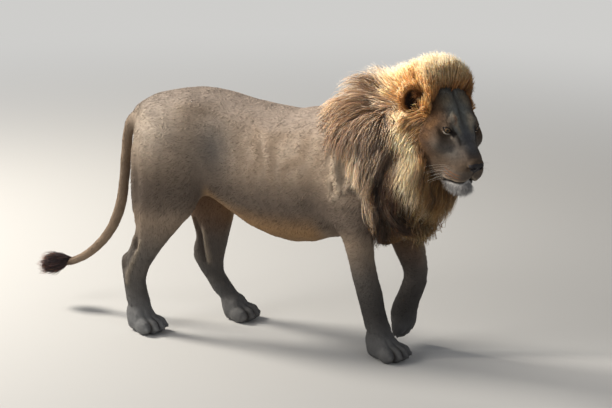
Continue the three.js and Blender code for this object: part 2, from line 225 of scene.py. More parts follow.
# the spot lights the crown and the near ruff, as low sun from behind would
spot = lamp("snoot", "SPOT", (-2.7, -1.9, 2.7), (0.64, -0.19, 1.09), 1220, (1.0, 0.93, 0.84))
spot.spot_size, spot.spot_blend, spot.shadow_soft_size = math.radians(23), 1.0, 0.3
BODY_MIDDLE = (0, 0, 0.7)
for name, where, size, power, colour in (("key", (-4.7, 0.1, 3.9), 1.6, 470, (1.0, 0.94, 0.85)),
                                         ("front", (-3.0, -3.8, 3.2), 2.4, 82, (1.0, 0.97, 0.92)),
                                         ("fill", (4.2, -3.0, 1.8), 3.0, 26, (0.94, 0.96, 1.0))):
    disk = lamp(name, "AREA", where, BODY_MIDDLE, power, colour)
    disk.shape, disk.size = "DISK", size


# ---- The skin ----
# One closed hide over the whole lion, inside the CAD forms by the depth of the coat. The head is sculpted
# in its own frame, the paws follow their toes, and under the mane runs the real neck.
def smooth_min(a, b, k):
    """The lower of two fields, melted together where they differ by less than k."""
    h = np.maximum(k - np.abs(a - b), 0) / k
    return np.minimum(a, b) - h * h * k / 4


def smooth_max(a, b, k):
    return -smooth_min(-a, -b, k)


def bump(x, width):
    """A bell: 1 at zero, falling off over the width."""
    return np.exp(-(x / width) ** 2)


def ease(x, a, b):
    """0 at a and 1 at b, with a soft start and end. Where a is the higher, it falls as x grows."""
    t = np.clip((x - a) / (b - a), 0, 1)
    return t * t * (3 - 2 * t)


def unit(v):
    return v / np.maximum(np.linalg.norm(v, axis=-1, keepdims=True), 1e-9)


def egg(q, centre, radii, yaw=0.0, pitch=0.0, roll=0.0):
    """Distance to an ellipsoid: k0 (k0 - 1) / k1, with k0 and k1 the lengths of p / r and p / r squared."""
    p = (q - np.array(centre, float)) @ turned(yaw, pitch, roll)
    r = np.array(radii, float)
    k0 = np.linalg.norm(p / r, axis=-1)
    k1 = np.linalg.norm(p / (r * r), axis=-1) + 1e-9
    return k0 * (k0 - 1) / k1


def rod(q, a, b, ra, rb):
    """Distance to a round rod from a to b whose radius runs from ra to rb."""
    a, b = np.array(a, float), np.array(b, float)
    t = np.clip(((q - a) @ (b - a)) / ((b - a) @ (b - a)), 0, 1)
    return np.linalg.norm(q - a - t[..., None] * (b - a), axis=-1) - (ra + (rb - ra) * t)


def smooth_table(x, xs, ys):
    """Smooth curve through the knots (xs, ys), with the slope at each knot taken from its neighbours."""
    xs, ys = np.array(xs, float), np.array(ys, float)
    slope = np.gradient(ys, xs, axis=0)
    x = np.clip(x, xs[0], xs[-1])
    i = np.clip(np.searchsorted(xs, x) - 1, 0, len(xs) - 2)
    as_rows = (...,) + (None,) * (ys.ndim - 1)
    wide = (xs[i + 1] - xs[i])[as_rows]
    t = (x - xs[i])[as_rows] / wide
    return hermite(t, ys[i], ys[i + 1], slope[i] * wide, slope[i + 1] * wide)


def hermite(t, a, b, slope_a, slope_b):
    """The cubic from a to b, as t runs from 0 to 1, that has the given slopes at its ends."""
    t2, t3 = t * t, t * t * t
    return ((2 * t3 - 3 * t2 + 1) * a + (t3 - 2 * t2 + t) * slope_a
            + (3 * t2 - 2 * t3) * b + (t3 - t2) * slope_b)


HEAD_SECTIONS = {
    # from the nose: (top, bottom, half widths from the bottom to the top)
    -340: (188, -150, [30, 62, 90, 110, 114, 106, 92, 76, 50]),
    -260: (181, -160, [30, 62, 98, 118, 122, 114, 98, 78, 52]),
    -210: (151, -160, [28, 56, 88, 109, 116, 110, 88, 66, 44]),
    -160: (106, -156, [26, 48, 72, 88, 96, 93, 72, 50, 34]),
    -120: (76, -153, [24, 42, 57, 70, 77, 70, 54, 40, 28]),
    -80: (53, -150, [22, 37, 48, 58, 63, 57, 47, 37, 26]),
    -40: (36, -147, [20, 31, 40, 50, 54, 49, 41, 34, 24]),
    0: (24, -140, [16, 24, 32, 42, 46, 41, 35, 30, 20]),
}
SECTION_LEVELS = np.array([0, .06, .2, .4, .6, .75, .87, .95, 1])
# how far forward the muzzle reaches at each height, and how high the mouth lies at each angle round it
MUZZLE_FRONT = ([-170, -145, -122, -100, -75, -60, -30, 10, 24, 60],
                [-86, -42, -27, -24, -24, -20, -14, -12, -20, -60])
MOUTH = ([-1, 0, 19, 48, 80, 104, 116, 180], [-66, -66, -84, -97, -105, -110, -116, -116])
EYE = {"ball": 18.5, "lid": 22.5, "corner": 56.0, "upper": 25.0, "lower": -24.0}
EYE_TURN = turned(30.0, 4, 14.0)
EAR = {"middle": (-325, 121, 110), "radii": (24, 49, 64), "way": (34, 0, -24), "bowl": 27}
EAR_TURN = turned(*EAR["way"])


def head_widths(x, z):
    """Half width of the bare head at x and z, smooth from section to section and from level to level."""
    xs = sorted(HEAD_SECTIONS)
    top, bottom, widths = (smooth_table(x, xs, [HEAD_SECTIONS[k][n] for k in xs]) for n in range(3))
    level = (z - bottom) / (top - bottom)
    i = np.clip(np.searchsorted(SECTION_LEVELS, level) - 1, 0, len(SECTION_LEVELS) - 2)
    slope = np.gradient(widths, SECTION_LEVELS, axis=-1)
    tall = SECTION_LEVELS[i + 1] - SECTION_LEVELS[i]
    t = np.clip((level - SECTION_LEVELS[i]) / tall, 0, 1)
    n = np.arange(len(x))
    return hermite(t, widths[n, i], widths[n, i + 1], slope[n, i] * tall, slope[n, i + 1] * tall), top, bottom


def eye_angles(q):
    """Angles of the points across and up from where the eye looks, and how far they are from its middle."""
    p = (q - np.array(EYE_MIDDLE, float)) @ EYE_TURN
    across = np.degrees(np.arctan2(p[:, 1], p[:, 0]))
    up = np.degrees(np.arctan2(p[:, 2], np.hypot(p[:, 0], p[:, 1])))
    return across, up, np.linalg.norm(p, axis=-1)


def past_lids(across, up):
    """Degrees outside the almond between the lids, and below zero inside it."""
    t = np.clip(across / EYE["corner"], -1, 1)
    arch = (1 - t * t) ** 0.75
    return np.maximum(np.maximum(up - EYE["upper"] * arch - 3 * t, EYE["lower"] * arch + 3 * t - up),
                      (np.abs(across) - EYE["corner"]) * 0.7)


def mouth_line(q):
    """Angle round the muzzle from straight ahead, and the height above the line between the lips."""
    angle = np.degrees(np.arctan2(q[:, 1], q[:, 0] + 90))
    return angle, q[:, 2] - np.interp(angle, *MOUTH)


def mirrored(q):
    """The points laid over to the left side, where the head's measures are."""
    return np.stack([q[:, 0], np.abs(q[:, 1]), q[:, 2]], -1)


def in_ear(q):
    return (q - np.array(EAR["middle"])) @ EAR_TURN


def ear_form(q):
    return egg(q, EAR["middle"], EAR["radii"], *EAR["way"])


def ear_rim(p):
    """0 in the middle of the bowl and 1 at the ear's rim, from points in the ear's own frame."""
    return np.hypot(p[:, 1] / EAR["radii"][1], (p[:, 2] - 4) / EAR["radii"][2])


def head_form(q):
    """Field of the head in its own millimetres, alike on both sides: the sections' form, with whisker pads,
    cheek bones, brows, lids, nose and ears melted on, and eye hollows, nostrils, mouth and furrow cut in."""
    q = mirrored(q)
    x, y, z = q.T
    wide, top, bottom = head_widths(x, z)
    step = 2.0
    along = (head_widths(x + step, z)[0] - wide) / step
    rise = (head_widths(x, z + step)[0] - wide) / step
    d = (y - wide) / np.sqrt(1 + np.minimum(along**2, 4) + np.minimum(rise**2, 4))
    d = smooth_max(d, (z - top) / 1.15, 16)
    d = smooth_max(d, bottom - z, 26)
    d = smooth_max(d, (x - np.interp(z, *MUZZLE_FRONT)) * 0.85, 26)
    d = smooth_max(d, -345 - x, 40)
    pad = egg(q, (-70, 33, -48), (50, 36, 46), 10, -8)
    pad = smooth_min(pad, egg(q, (-40, 22, -42), (29, 24, 36), 16, 8), 16)
    pad = smooth_min(pad, egg(q, (-100, 50, -74), (34, 17, 31), 14), 18)
    d = smooth_min(d, pad, 14)
    d = smooth_min(d, egg(q, (-202, 84, 26), (66, 30, 40), 14), 44)
    d = smooth_max(d, -egg(q, (-140, 78, 78), (40, 24, 25), 38), 20)
    d = smooth_min(d, egg(q, (-188, 56, 106), (42, 30, 15), -18, 20, -24), 28)
    d = smooth_min(d, egg(q, (-136, 38, 68), (34, 14, 17), -8, -30), 26)
    across, up, away = eye_angles(q)
    past = past_lids(across, up)
    d = smooth_min(d, away - EYE["lid"], 9)
    between = np.maximum(past * 0.38, EYE["ball"] - 2.2 - away)
    d = smooth_max(d, -np.where(np.abs(across) < 90, between, 50), 2.0)
    d = d + 2.0 * bump(past - 14, 4.5) * bump(away - 24, 10) * (np.abs(across) < 85)
    nose = smooth_min(egg(q, (-21, 0, 4), (24, 34, 19), 0, -14), egg(q, (-15, 15, -7), (17, 19, 17)), 8)
    nose = smooth_min(nose, egg(q, (-17, 0, -22), (12, 13, 14)), 8)
    d = smooth_min(d, nose, 5)
    d = smooth_max(d, -egg(q, (0, 15, -8), (15, 7.5, 5.5), -24, 0, 30), 3)
    d = smooth_max(d, -egg(q, (-8, 27, -13), (12, 9, 3.2), -45, 0, 24), 3)
    d = d + 3.5 * bump(y, 3.0) * ease(x, -40, -22) * ease(z, -24, -36) * ease(z, -84, -68)
    angle, above = mouth_line(q)
    ahead = ease(angle, 118, 104) * (x > -160)
    d = d + 6.0 * bump(above, 3.2) * ahead
    d = d + 6.0 * ease(above, 4, -3) * ease(above, -44, -8) * ahead
    d = d + 4.5 * bump(y, 11) * ease(x, -290, -250) * ease(x, -140, -190) * ease(z, 60, 90)
    return smooth_min(d, ear_form(q), 14)


def in_lion(p):
    return (p - lion_origin) * 1000


def in_head(p):
    return (p - nose_tip) @ HEAD_TURN * (1000 / HEAD_SCALE)


def out_of_head(q):
    return nose_tip + q @ HEAD_TURN.T * (HEAD_SCALE / 1000)


def neck_form(m):
    """Field of the chest, shoulders and neck that the mane hides, in the lion's millimetres."""
    d = egg(m, (215, 0, 782), (200, 165, 268))
    for side in (-1, 1):
        d = smooth_min(d, egg(m, (300, side * 112, 765), (118, 62, 215), 0, 6), 50)
    d = smooth_min(d, rod(m, (240, 0, 880), (560, -38, 1000), 168, 128), 70)
    d = smooth_min(d, rod(m, (560, -38, 1000), (640, -78, 1020), 128, 112), 40)
    return smooth_min(d, egg(m, (420, -5, 720), (105, 112, 165)), 70)


def coat_depth(m):
    """How far the skin lies inside the tips of the coat: little on legs and tail, deep under the mane."""
    x, z = m[..., 0], m[..., 2]
    mane_edge = ease(x, 60, 200) * ease(z, 560, 700)
    return (3.0 + 2.0 * ease(z, 420, 620) + mane_edge * (22 + 40 * ease(z, 940, 1100))
            - 5.0 * ease(x, -810, -850))


def node_mesh(name):
    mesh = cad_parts[name].data
    mesh.calc_loop_triangles()
    points = np.empty(len(mesh.vertices) * 3, np.float32)
    mesh.vertices.foreach_get("co", points)
    faces = np.empty(len(mesh.loop_triangles) * 3, np.int32)
    mesh.loop_triangles.foreach_get("vertices", faces)
    return points.reshape(-1, 3), faces.reshape(-1, 3).astype(np.uint32)


class Field:
    """Distances on a grid of cubes `step` wide, worked out from closed surfaces and read between nodes."""

    def __init__(self, low, high, step, reach=8):
        self.step, self.reach = step, reach
        self.low = np.floor(np.array(low) / step) - 8
        self.shape = tuple(int(n) for n in np.ceil(np.array(high) / step) + 8 - self.low)
        self.values = None

    def surface(self, points, faces):
        grid = openvdb.FloatGrid.createLevelSetFromPolygons(
            (points / self.step - self.low).astype(np.float32), triangles=faces,
            transform=openvdb.createLinearTransform(1.0), halfWidth=float(self.reach))
        values = np.empty(self.shape, np.float32)
        grid.copyToArray(values)
        return values * self.step

    def node(self, name):
        return self.surface(*node_mesh(name))

    def polygons(self, values):
        grid = openvdb.FloatGrid()
        grid.copyFromArray((values / self.step).astype(np.float32))
        points, _, quads = grid.convertToPolygons(0.0, 0.0)
        quads = np.asarray(quads).astype(np.int64)
        faces = np.concatenate([quads[:, [0, 1, 2]], quads[:, [0, 2, 3]]])
        return (np.asarray(points) + self.low) * self.step, faces

    def places(self):
        axes = [(np.arange(n) + start) * self.step for n, start in zip(self.shape, self.low)]
        return np.stack(np.meshgrid(*axes, indexing="ij"), -1)

    def soften(self, width):
        """Blurs the distances by a bell of the given width, in grid steps, along each axis in turn."""
        reach = np.arange(-4, 5)
        bell = np.exp(-reach**2 / (2 * width**2))
        bell /= bell.sum()
        for axis in range(3):
            rolled = (share * np.roll(self.values, n, axis) for share, n in zip(bell, reach))
            self.values = sum(rolled).astype(np.float32)

    def at(self, p):
        """Distance at any point: the eight nodes round it, each weighted by how near it is."""
        g = np.clip(p / self.step - self.low, 0, np.array(self.shape) - 1.001)
        i = g.astype(int)
        f = g - i
        total = 0
        for corner in np.ndindex(2, 2, 2):
            near = np.prod(np.where(corner, f, 1 - f), axis=-1)
            total = total + near * self.values[tuple((i + corner).T)]
        return total


def largest(points, faces):
    """Only the biggest connected shell: labels spread over the edges until they stop changing."""
    label = np.arange(len(points))
    while True:
        low = label[faces].min(1)
        new = label.copy()
        for n in range(3):
            np.minimum.at(new, faces[:, n], low)
        new = new[new]
        if (new == label).all():
            break
        label = new
    keep = label[faces[:, 0]] == np.bincount(label[faces[:, 0]]).argmax()
    used, faces = np.unique(faces[keep], return_inverse=True)
    return points[used], faces.reshape(-1, 3)


BODY_STEP, PAW_STEP, HIDE_STEP, MARGIN, PAW_MARGIN = 0.008, 0.003, 0.0111, 0.03, 0.005
# how widely forms melt into the ones before them, and how large gaps between the solids are closed (m)
MELT = {"limb": 0.034, "ankle": 0.012, "neck": 0.05, "paw": 0.014, "claw": 0.009, "head": 0.03}
CLOSING, FAR_OFF = 0.004, 0.3
ANKLES = [
    # the pastern that carries each leg's line down into its paw
    ((-716, -165, 170), (-677, -175, 52), 43), ((-480, 165, 165), (-386, 160, 50), 43),
    ((394, -84, 170), (439, -93, 52), 47), ((500, 98, 320), (462, 98, 200), 46),
]
FLESH = {
    # the lengths of each limb meet end to end, and the limbs melt into the trunk
    "trunk": ["trunk"],
    "right hind": ["right_thigh", "right_shank", "right_hind_paw"],
    "left hind": ["left_thigh", "left_shank", "left_hind_paw"],
    "right fore": ["right_upper_arm", "right_forearm", "right_fore_paw"],
    "left fore": ["left_upper_arm", "left_forearm", "left_fore_paw"],
    "tail": ["tail_upper", "tail_lower"],
}
body = Field(cad_low - MARGIN, cad_high + MARGIN, BODY_STEP)
grid_places = in_lion(body.places())
near_neck = grid_places[..., 0] > -100
neck = np.full(body.shape, FAR_OFF, np.float32)
neck[near_neck] = neck_form(grid_places[near_neck]) / 1000
together = neck
for names in FLESH.values():
    limb = np.minimum.reduce([body.node(name) for name in names])
    together = smooth_min(together, limb, MELT["limb"])
for ankle, pad, radius in ANKLES:
    together = smooth_min(together, rod(grid_places, ankle, pad, radius, radius) / 1000, MELT["ankle"])
shell = largest(*body.polygons(together - CLOSING))
body.values = body.surface(shell[0], shell[1].astype(np.uint32)) + CLOSING
body.soften(1.15)
body.values += (coat_depth(grid_places) / 1000).astype(np.float32)
body.values = smooth_min(body.values, neck, MELT["neck"])

PAWS = ["right_hind", "left_hind", "right_fore", "left_fore"]
TOE = {"long": 50, "spread": 0.56, "splay": 9, "half": {"hind": 58, "fore": 60}}
PAW_PLACES = {
    # toe tips, how far the paw turns out and how far it points up
    "right_hind": ((-583.2, -201.9, 32), -16, 0), "left_hind": ((-288.4, 153.1, 32), -4, 0),
    "right_fore": ((552.6, -130, 32), -18, 0), "left_fore": ((436, 98, 42), 0, -100),
}
paw_fields = {}
for paw in PAWS:
    low, high = (np.array(v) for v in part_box(f"{paw}_paw"))
    paw_fields[paw] = Field(low - PAW_MARGIN, high + PAW_MARGIN, PAW_STEP)
    paw_fields[paw].values = paw_fields[paw].node(f"{paw}_paw")
    paw_fields[paw].soften(1.0)


def in_paw(p, paw):
    tips, turn, pitch = PAW_PLACES[paw]
    return (in_lion(p) - np.array(tips)) @ turned(turn, pitch)


def toe_furrows(q, paw):
    """How far the points lie to the side of each of the three lines between the toes."""
    pitch = TOE["half"][paw.split("_")[1]] * TOE["spread"]
    for n in (-1, 0, 1):
        turn = math.radians(n * TOE["splay"])
        yield (q[:, 1] - n * pitch) * math.cos(turn) - (q[:, 0] + TOE["long"]) * math.sin(turn)


FURROW_DEPTH, PAW_COAT, SHEATH = 0.009, 0.001, 0.0085


def paw_form(p, paw):
    """The paw's own field, with a furrow between each two toes and a sheath of skin round each claw."""
    q = in_paw(p, paw)
    d = paw_fields[paw].at(p) + PAW_COAT
    for side in toe_furrows(q, paw):
        d = d + FURROW_DEPTH * bump(side, 4.5) * ease(q[:, 0], -100, -62)
    for n in range(1, 5):
        low, high = (np.array(v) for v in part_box(f"{paw}_claw_{n}"))
        root = np.clip((low + high) / 2, low + 0.003, high) - np.array([0.004, 0, -0.003])
        d = smooth_min(d, np.linalg.norm(p - root, axis=-1) - SHEATH, MELT["claw"])
    return d


def skin_field(p):
    """The whole hide as one field, in metres: body and neck, then each paw and the head melted on."""
    d = body.at(p)
    for paw in PAWS:
        low, high = (np.array(v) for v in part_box(f"{paw}_paw"))
        near = np.all((p > low - 0.02) & (p < high + 0.02), axis=-1)
        d[near] = smooth_min(d[near], paw_form(p[near], paw), MELT["paw"])
    q = in_head(p)
    near = (q[:, 0] > -420) & (np.abs(q[:, 1]) < 220) & (np.abs(q[:, 2]) < 230)
    d[near] = smooth_min(d[near], head_form(q[near]) * (HEAD_SCALE / 1000), MELT["head"])
    return d


coarse = Field(cad_low - MARGIN, cad_high + MARGIN, HIDE_STEP)
coarse.values = skin_field(coarse.places().reshape(-1, 3)).reshape(coarse.shape)
skin_points, skin_faces = largest(*coarse.polygons(coarse.values))


def refine(points, faces, inside):
    """Halves each edge whose two ends are inside, and splits the faces beside it to match."""
    pairs = np.sort(np.stack([faces, np.roll(faces, -1, 1)], -1), -1)
    split = inside[pairs].all(-1)
    edges, which = np.unique(pairs[split], axis=0, return_inverse=True)
    middle = np.full(faces.shape, -1)
    middle[split] = len(points) + which.reshape(-1)
    points = np.concatenate([points, points[edges].mean(1)])
    count = split.sum(1)
    whole = faces[count == 0]
    a, b, c = faces[count == 3].T
    ab, bc, ca = middle[count == 3].T
    four = [np.stack(f, -1) for f in ((a, ab, ca), (ab, b, bc), (ca, bc, c), (ab, bc, ca))]
    two = []
    for n in range(3):
        one = (count == 1) & split[:, n]
        a, b, c = faces[one, n], faces[one, (n + 1) % 3], faces[one, (n + 2) % 3]
        two += [np.stack([a, middle[one, n], c], -1), np.stack([middle[one, n], b, c], -1)]
    return points, np.concatenate([whole, *four, *two])


def face_zone(p, behind):
    q = mirrored(in_head(p))
    return (q[:, 0] > behind) & (np.abs(q[:, 2]) < 230)


def detail_zone(p):
    q = mirrored(in_head(p))
    eye = eye_angles(q)[2] < 31
    nose = np.linalg.norm(q - np.array([-14, 12, -6]), axis=-1) < 32
    mouth = (np.abs(mouth_line(q)[1]) < 6) & (q[:, 0] > -120) & (q[:, 1] < 70)
    return eye | nose | mouth


def fine_zone(p):
    """The face, the ears, the paws, one of them lifted, and the tail."""
    m = in_lion(p)
    lifted = (m[:, 1] > 30) & (m[:, 0] > 350)
    paws = (m[:, 2] < 95) & (m[:, 0] > -850) | lifted & (m[:, 2] < 200)
    return face_zone(p, -290) | (ear_form(mirrored(in_head(p))) < 8) | paws | (m[:, 0] < -835)


def finer_zone(p):
    return face_zone(p, -185) & (in_head(p)[:, 2] < 135)


def settle(points, faces, moves, rounds):
    """Evens the vertices out within the surface, then moves them onto the field's zero, `rounds` times."""
    edges = np.concatenate([faces[:, [0, 1]], faces[:, [1, 2]], faces[:, [2, 0]]])
    edges = np.unique(np.sort(edges, -1), axis=0)
    both = np.concatenate([edges, edges[:, ::-1]])
    degree = np.bincount(both[:, 0], minlength=len(points))[:, None]
    for _ in range(rounds):
        total = [np.bincount(both[:, 0], points[both[:, 1], n], len(points)) for n in range(3)]
        around = np.stack(total, -1) / degree
        p = points[moves]
        here = skin_field(p)
        nudge = 0.0006
        slope = np.stack([skin_field(p + nudge * axis) - here for axis in np.eye(3)], -1) / nudge
        steep = np.linalg.norm(slope, axis=-1, keepdims=True)
        normal = slope / np.maximum(steep, 1e-6)
        drift = (around[moves] - p) * 0.5
        drift -= (drift * normal).sum(-1, keepdims=True) * normal
        off = np.clip(here[:, None] / np.maximum(steep, 0.35), -0.004, 0.004)
        points[moves] = p + drift - off * normal * 0.85
    return points


skin_points = settle(skin_points, skin_faces, np.arange(len(skin_points)), 3)
for zone, rounds in ((fine_zone, 2), (finer_zone, 3), (detail_zone, 4)):
    skin_points, skin_faces = refine(skin_points, skin_faces, zone(skin_points))
    skin_points = settle(skin_points, skin_faces, np.flatnonzero(zone(skin_points)), rounds)


def outward(points, faces):
    """Normals of the vertices, each face weighing as much as its area."""
    a, b, c = (points[faces[:, n]] for n in range(3))
    across = np.cross(b - a, c - a)
    total = np.stack([sum(np.bincount(faces[:, k], across[:, n], len(points)) for k in range(3))
                      for n in range(3)], -1)
    return unit(total)


def waves(p, size, seed, count=7):
    """Soft noise round zero: sine waves that run in random directions, over the root of their number."""
    draw = np.random.default_rng(seed)
    ways = draw.normal(size=(count, 3))
    ways *= (draw.uniform(0.6, 1.6, count) * 2 * np.pi / size / np.linalg.norm(ways, axis=1))[:, None]
    return np.sin(p @ ways.T + draw.uniform(0, 6.28, count)).sum(-1) / math.sqrt(count)


BOTH, RIGHT, LEFT = 0, -1, 1
MUSCLES = [
    # (side, middle, reach, height): hip bone, loin, flank, thigh, buttock, knees, hocks, elbows, wrists
    (BOTH, (-505, 92, 1046), (62, 60, 46), 9), (BOTH, (-395, 120, 985), (85, 60, 60), -7),
    (BOTH, (-345, 160, 770), (72, 90, 120), -11), (BOTH, (-610, 200, 790), (95, 80, 150), 8),
    (BOTH, (-758, 80, 880), (50, 60, 70), 6), (BOTH, (-700, 190, 700), (20, 80, 150), -5),
    (BOTH, (-560, 190, 640), (24, 80, 120), -4),
    (RIGHT, (-470, 150, 560), (36, 60, 50), 6), (LEFT, (-368, 150, 560), (36, 60, 50), 6),
    (RIGHT, (-712, 160, 405), (15, 60, 75), -9), (LEFT, (-548, 160, 400), (15, 60, 75), -9),
    (RIGHT, (-770, 160, 322), (30, 40, 32), 5), (LEFT, (-588, 160, 310), (30, 40, 32), 5),
    (RIGHT, (262, 150, 565), (36, 50, 42), 9), (LEFT, (330, 130, 575), (34, 50, 42), 8),
    (RIGHT, (345, 150, 455), (44, 50, 95), 5), (LEFT, (465, 130, 470), (44, 50, 80), 5),
    (RIGHT, (436, 86, 196), (26, 50, 28), 4), (RIGHT, (336, 84, 178), (20, 30, 20), 8),
    (RIGHT, (385, 140, 320), (14, 40, 120), -3), (LEFT, (440, 98, 262), (22, 60, 14), -5),
]
# loose skin behind the near shoulder: (middle along and up, half width and height, how proud its rim stands)
SHOULDER_FOLDS = [((288, 850), (42, 104), 9), ((240, 760), (20, 42), 5)]
FOLD_RIM, RELIEF, UNEVEN = 9, 1.35, 1.1
# sinews of the hind legs: (side, line along and up, half width, height), grooves below zero
SINEWS = [
    (RIGHT, [(-744, 520), (-728, 430), (-708, 378)], 9, -8),
    (RIGHT, [(-764, 390), (-772, 330), (-774, 280)], 13, -5),
    (RIGHT, [(-686, 410), (-712, 345), (-735, 292), (-752, 256), (-752, 215)], 9, 6),
    (LEFT, [(-572, 450), (-556, 380), (-545, 320), (-535, 262)], 10, -8),
    (LEFT, [(-528, 410), (-520, 330), (-512, 262)], 10, 5),
]


def off_line(x, z, line):
    """Distance in the plane of x and z to a broken line."""
    here = np.stack([x, z], -1)
    away = np.full(len(x), np.inf)
    for a, b in zip(np.array(line[:-1], float), np.array(line[1:], float)):
        t = np.clip((here - a) @ (b - a) / ((b - a) @ (b - a)), 0, 1)
        away = np.minimum(away, np.linalg.norm(here - a - t[:, None] * (b - a), axis=1))
    return away


def relief(m):
    """Height in mm of what stands over the plain form: a bell round each muscle's or bone's middle, waves
    for the ribs and the loose skin of the flank, ridges and grooves along the sinews, rings for the folds."""
    near, side = mirrored(m), np.sign(m[:, 1])
    high = np.zeros(len(m))
    for where, middle, reach, tall in MUSCLES:
        bell = tall * np.exp(-(((near - np.array(middle)) / np.array(reach)) ** 2).sum(-1))
        high += bell if where == BOTH else bell * (side == where)
    x, y, z = near.T
    ribs = bump(x + 70, 150) * bump(z - 720, 190) * ease(y, 110, 160)
    uneven = np.clip(0.55 + 0.6 * waves(m, 170, 4), 0, 1.2)
    high += 1.2 * ribs * uneven * np.sin(2 * np.pi * (x + 0.3 * z + 9 * waves(m, 260, 5)) / 62)
    folds = bump(x + 30, 190) * bump(z - 900, 115) * ease(y, 60, 130)
    high += 1.2 * folds * uneven * np.sin(2 * np.pi * (x - 0.22 * z + 22 * waves(m, 170, 6)) / 66)
    for where, line, width, height in SINEWS:
        high += (side == where) * height * bump(off_line(x, z, line), width)
    for (ahead, up), (wide, tall), height in SHOULDER_FOLDS:
        ring = np.hypot((x - ahead) / wide, (z - up) / tall) + 0.16 * waves(m, 70, 8)
        fold = height * (bump(ring - 1, FOLD_RIM / wide) - 0.6 * bump(ring, 0.7))
        high += (side == RIGHT) * ease(y, 90, 130) * fold
    return RELIEF * high + UNEVEN * waves(m, 110, 7) * ease(z, 300, 500)


def to_side(q):
    """1, -1, 1 for points on the right and 1, 1, 1 on the left: turns a way of the left side to theirs."""
    return np.where(q[:, 1] < 0, -1.0, 1.0)[:, None] * np.array([0, 1, 0]) + np.array([1, 0, 1])


def bowl_depth(q):
    """How far the front of the ear is pressed in, and which way: deepest in the middle, 0 at the rim."""
    p = in_ear(q)
    rim = ear_rim(p) / 0.84
    deep = EAR["bowl"] * np.clip(1 - rim**2, 0, None) ** 0.6 * ease(p[:, 0], 0, 10)
    return deep * (ear_form(q) < 7), EAR_TURN[:, 0]


normals = outward(skin_points, skin_faces)
lion_mm, head_mm = in_lion(skin_points), in_head(skin_points)
on_face = ease(head_mm[:, 0], -420, -330)
skin_points = skin_points + normals * (relief(lion_mm) * (1 - on_face) / 1000)[:, None]
head_mm = in_head(skin_points)
deep, way = bowl_depth(mirrored(head_mm))
skin_points = out_of_head(head_mm - deep[:, None] * way * to_side(head_mm))
LOWEST = 0.0015
skin_points[:, 2] = np.maximum(skin_points[:, 2], LOWEST)
normals = outward(skin_points, skin_faces)


def tone(text):
    """Linear colour from its usual six-figure name."""
    c = np.array([int(text[n:n + 2], 16) for n in (0, 2, 4)]) / 255
    return np.where(c <= 0.04045, c / 12.92, ((c + 0.055) / 1.055) ** 2.4)


def layered(colour, *layers):
    """The colour with tints laid over it in turn, each given by its name and its share at each point."""
    for name, amount in layers:
        colour = colour + (tone(name) - colour) * np.clip(amount, 0, 1)[:, None]
    return colour


def toe_gaps(p):
    """How far into the furrows between the toes the points lie, 0 to 1."""
    dark = np.zeros(len(p))
    for paw in PAWS:
        q = in_paw(p, paw)
        near = (np.abs(q[:, 1]) < 80) & (q[:, 0] > -110) & (q[:, 0] < 30) & (np.abs(q[:, 2]) < 70)
        for side in toe_furrows(q, paw):
            dark = np.maximum(dark, near * bump(side, 5.0) * ease(q[:, 0], -75, -30))
    return dark


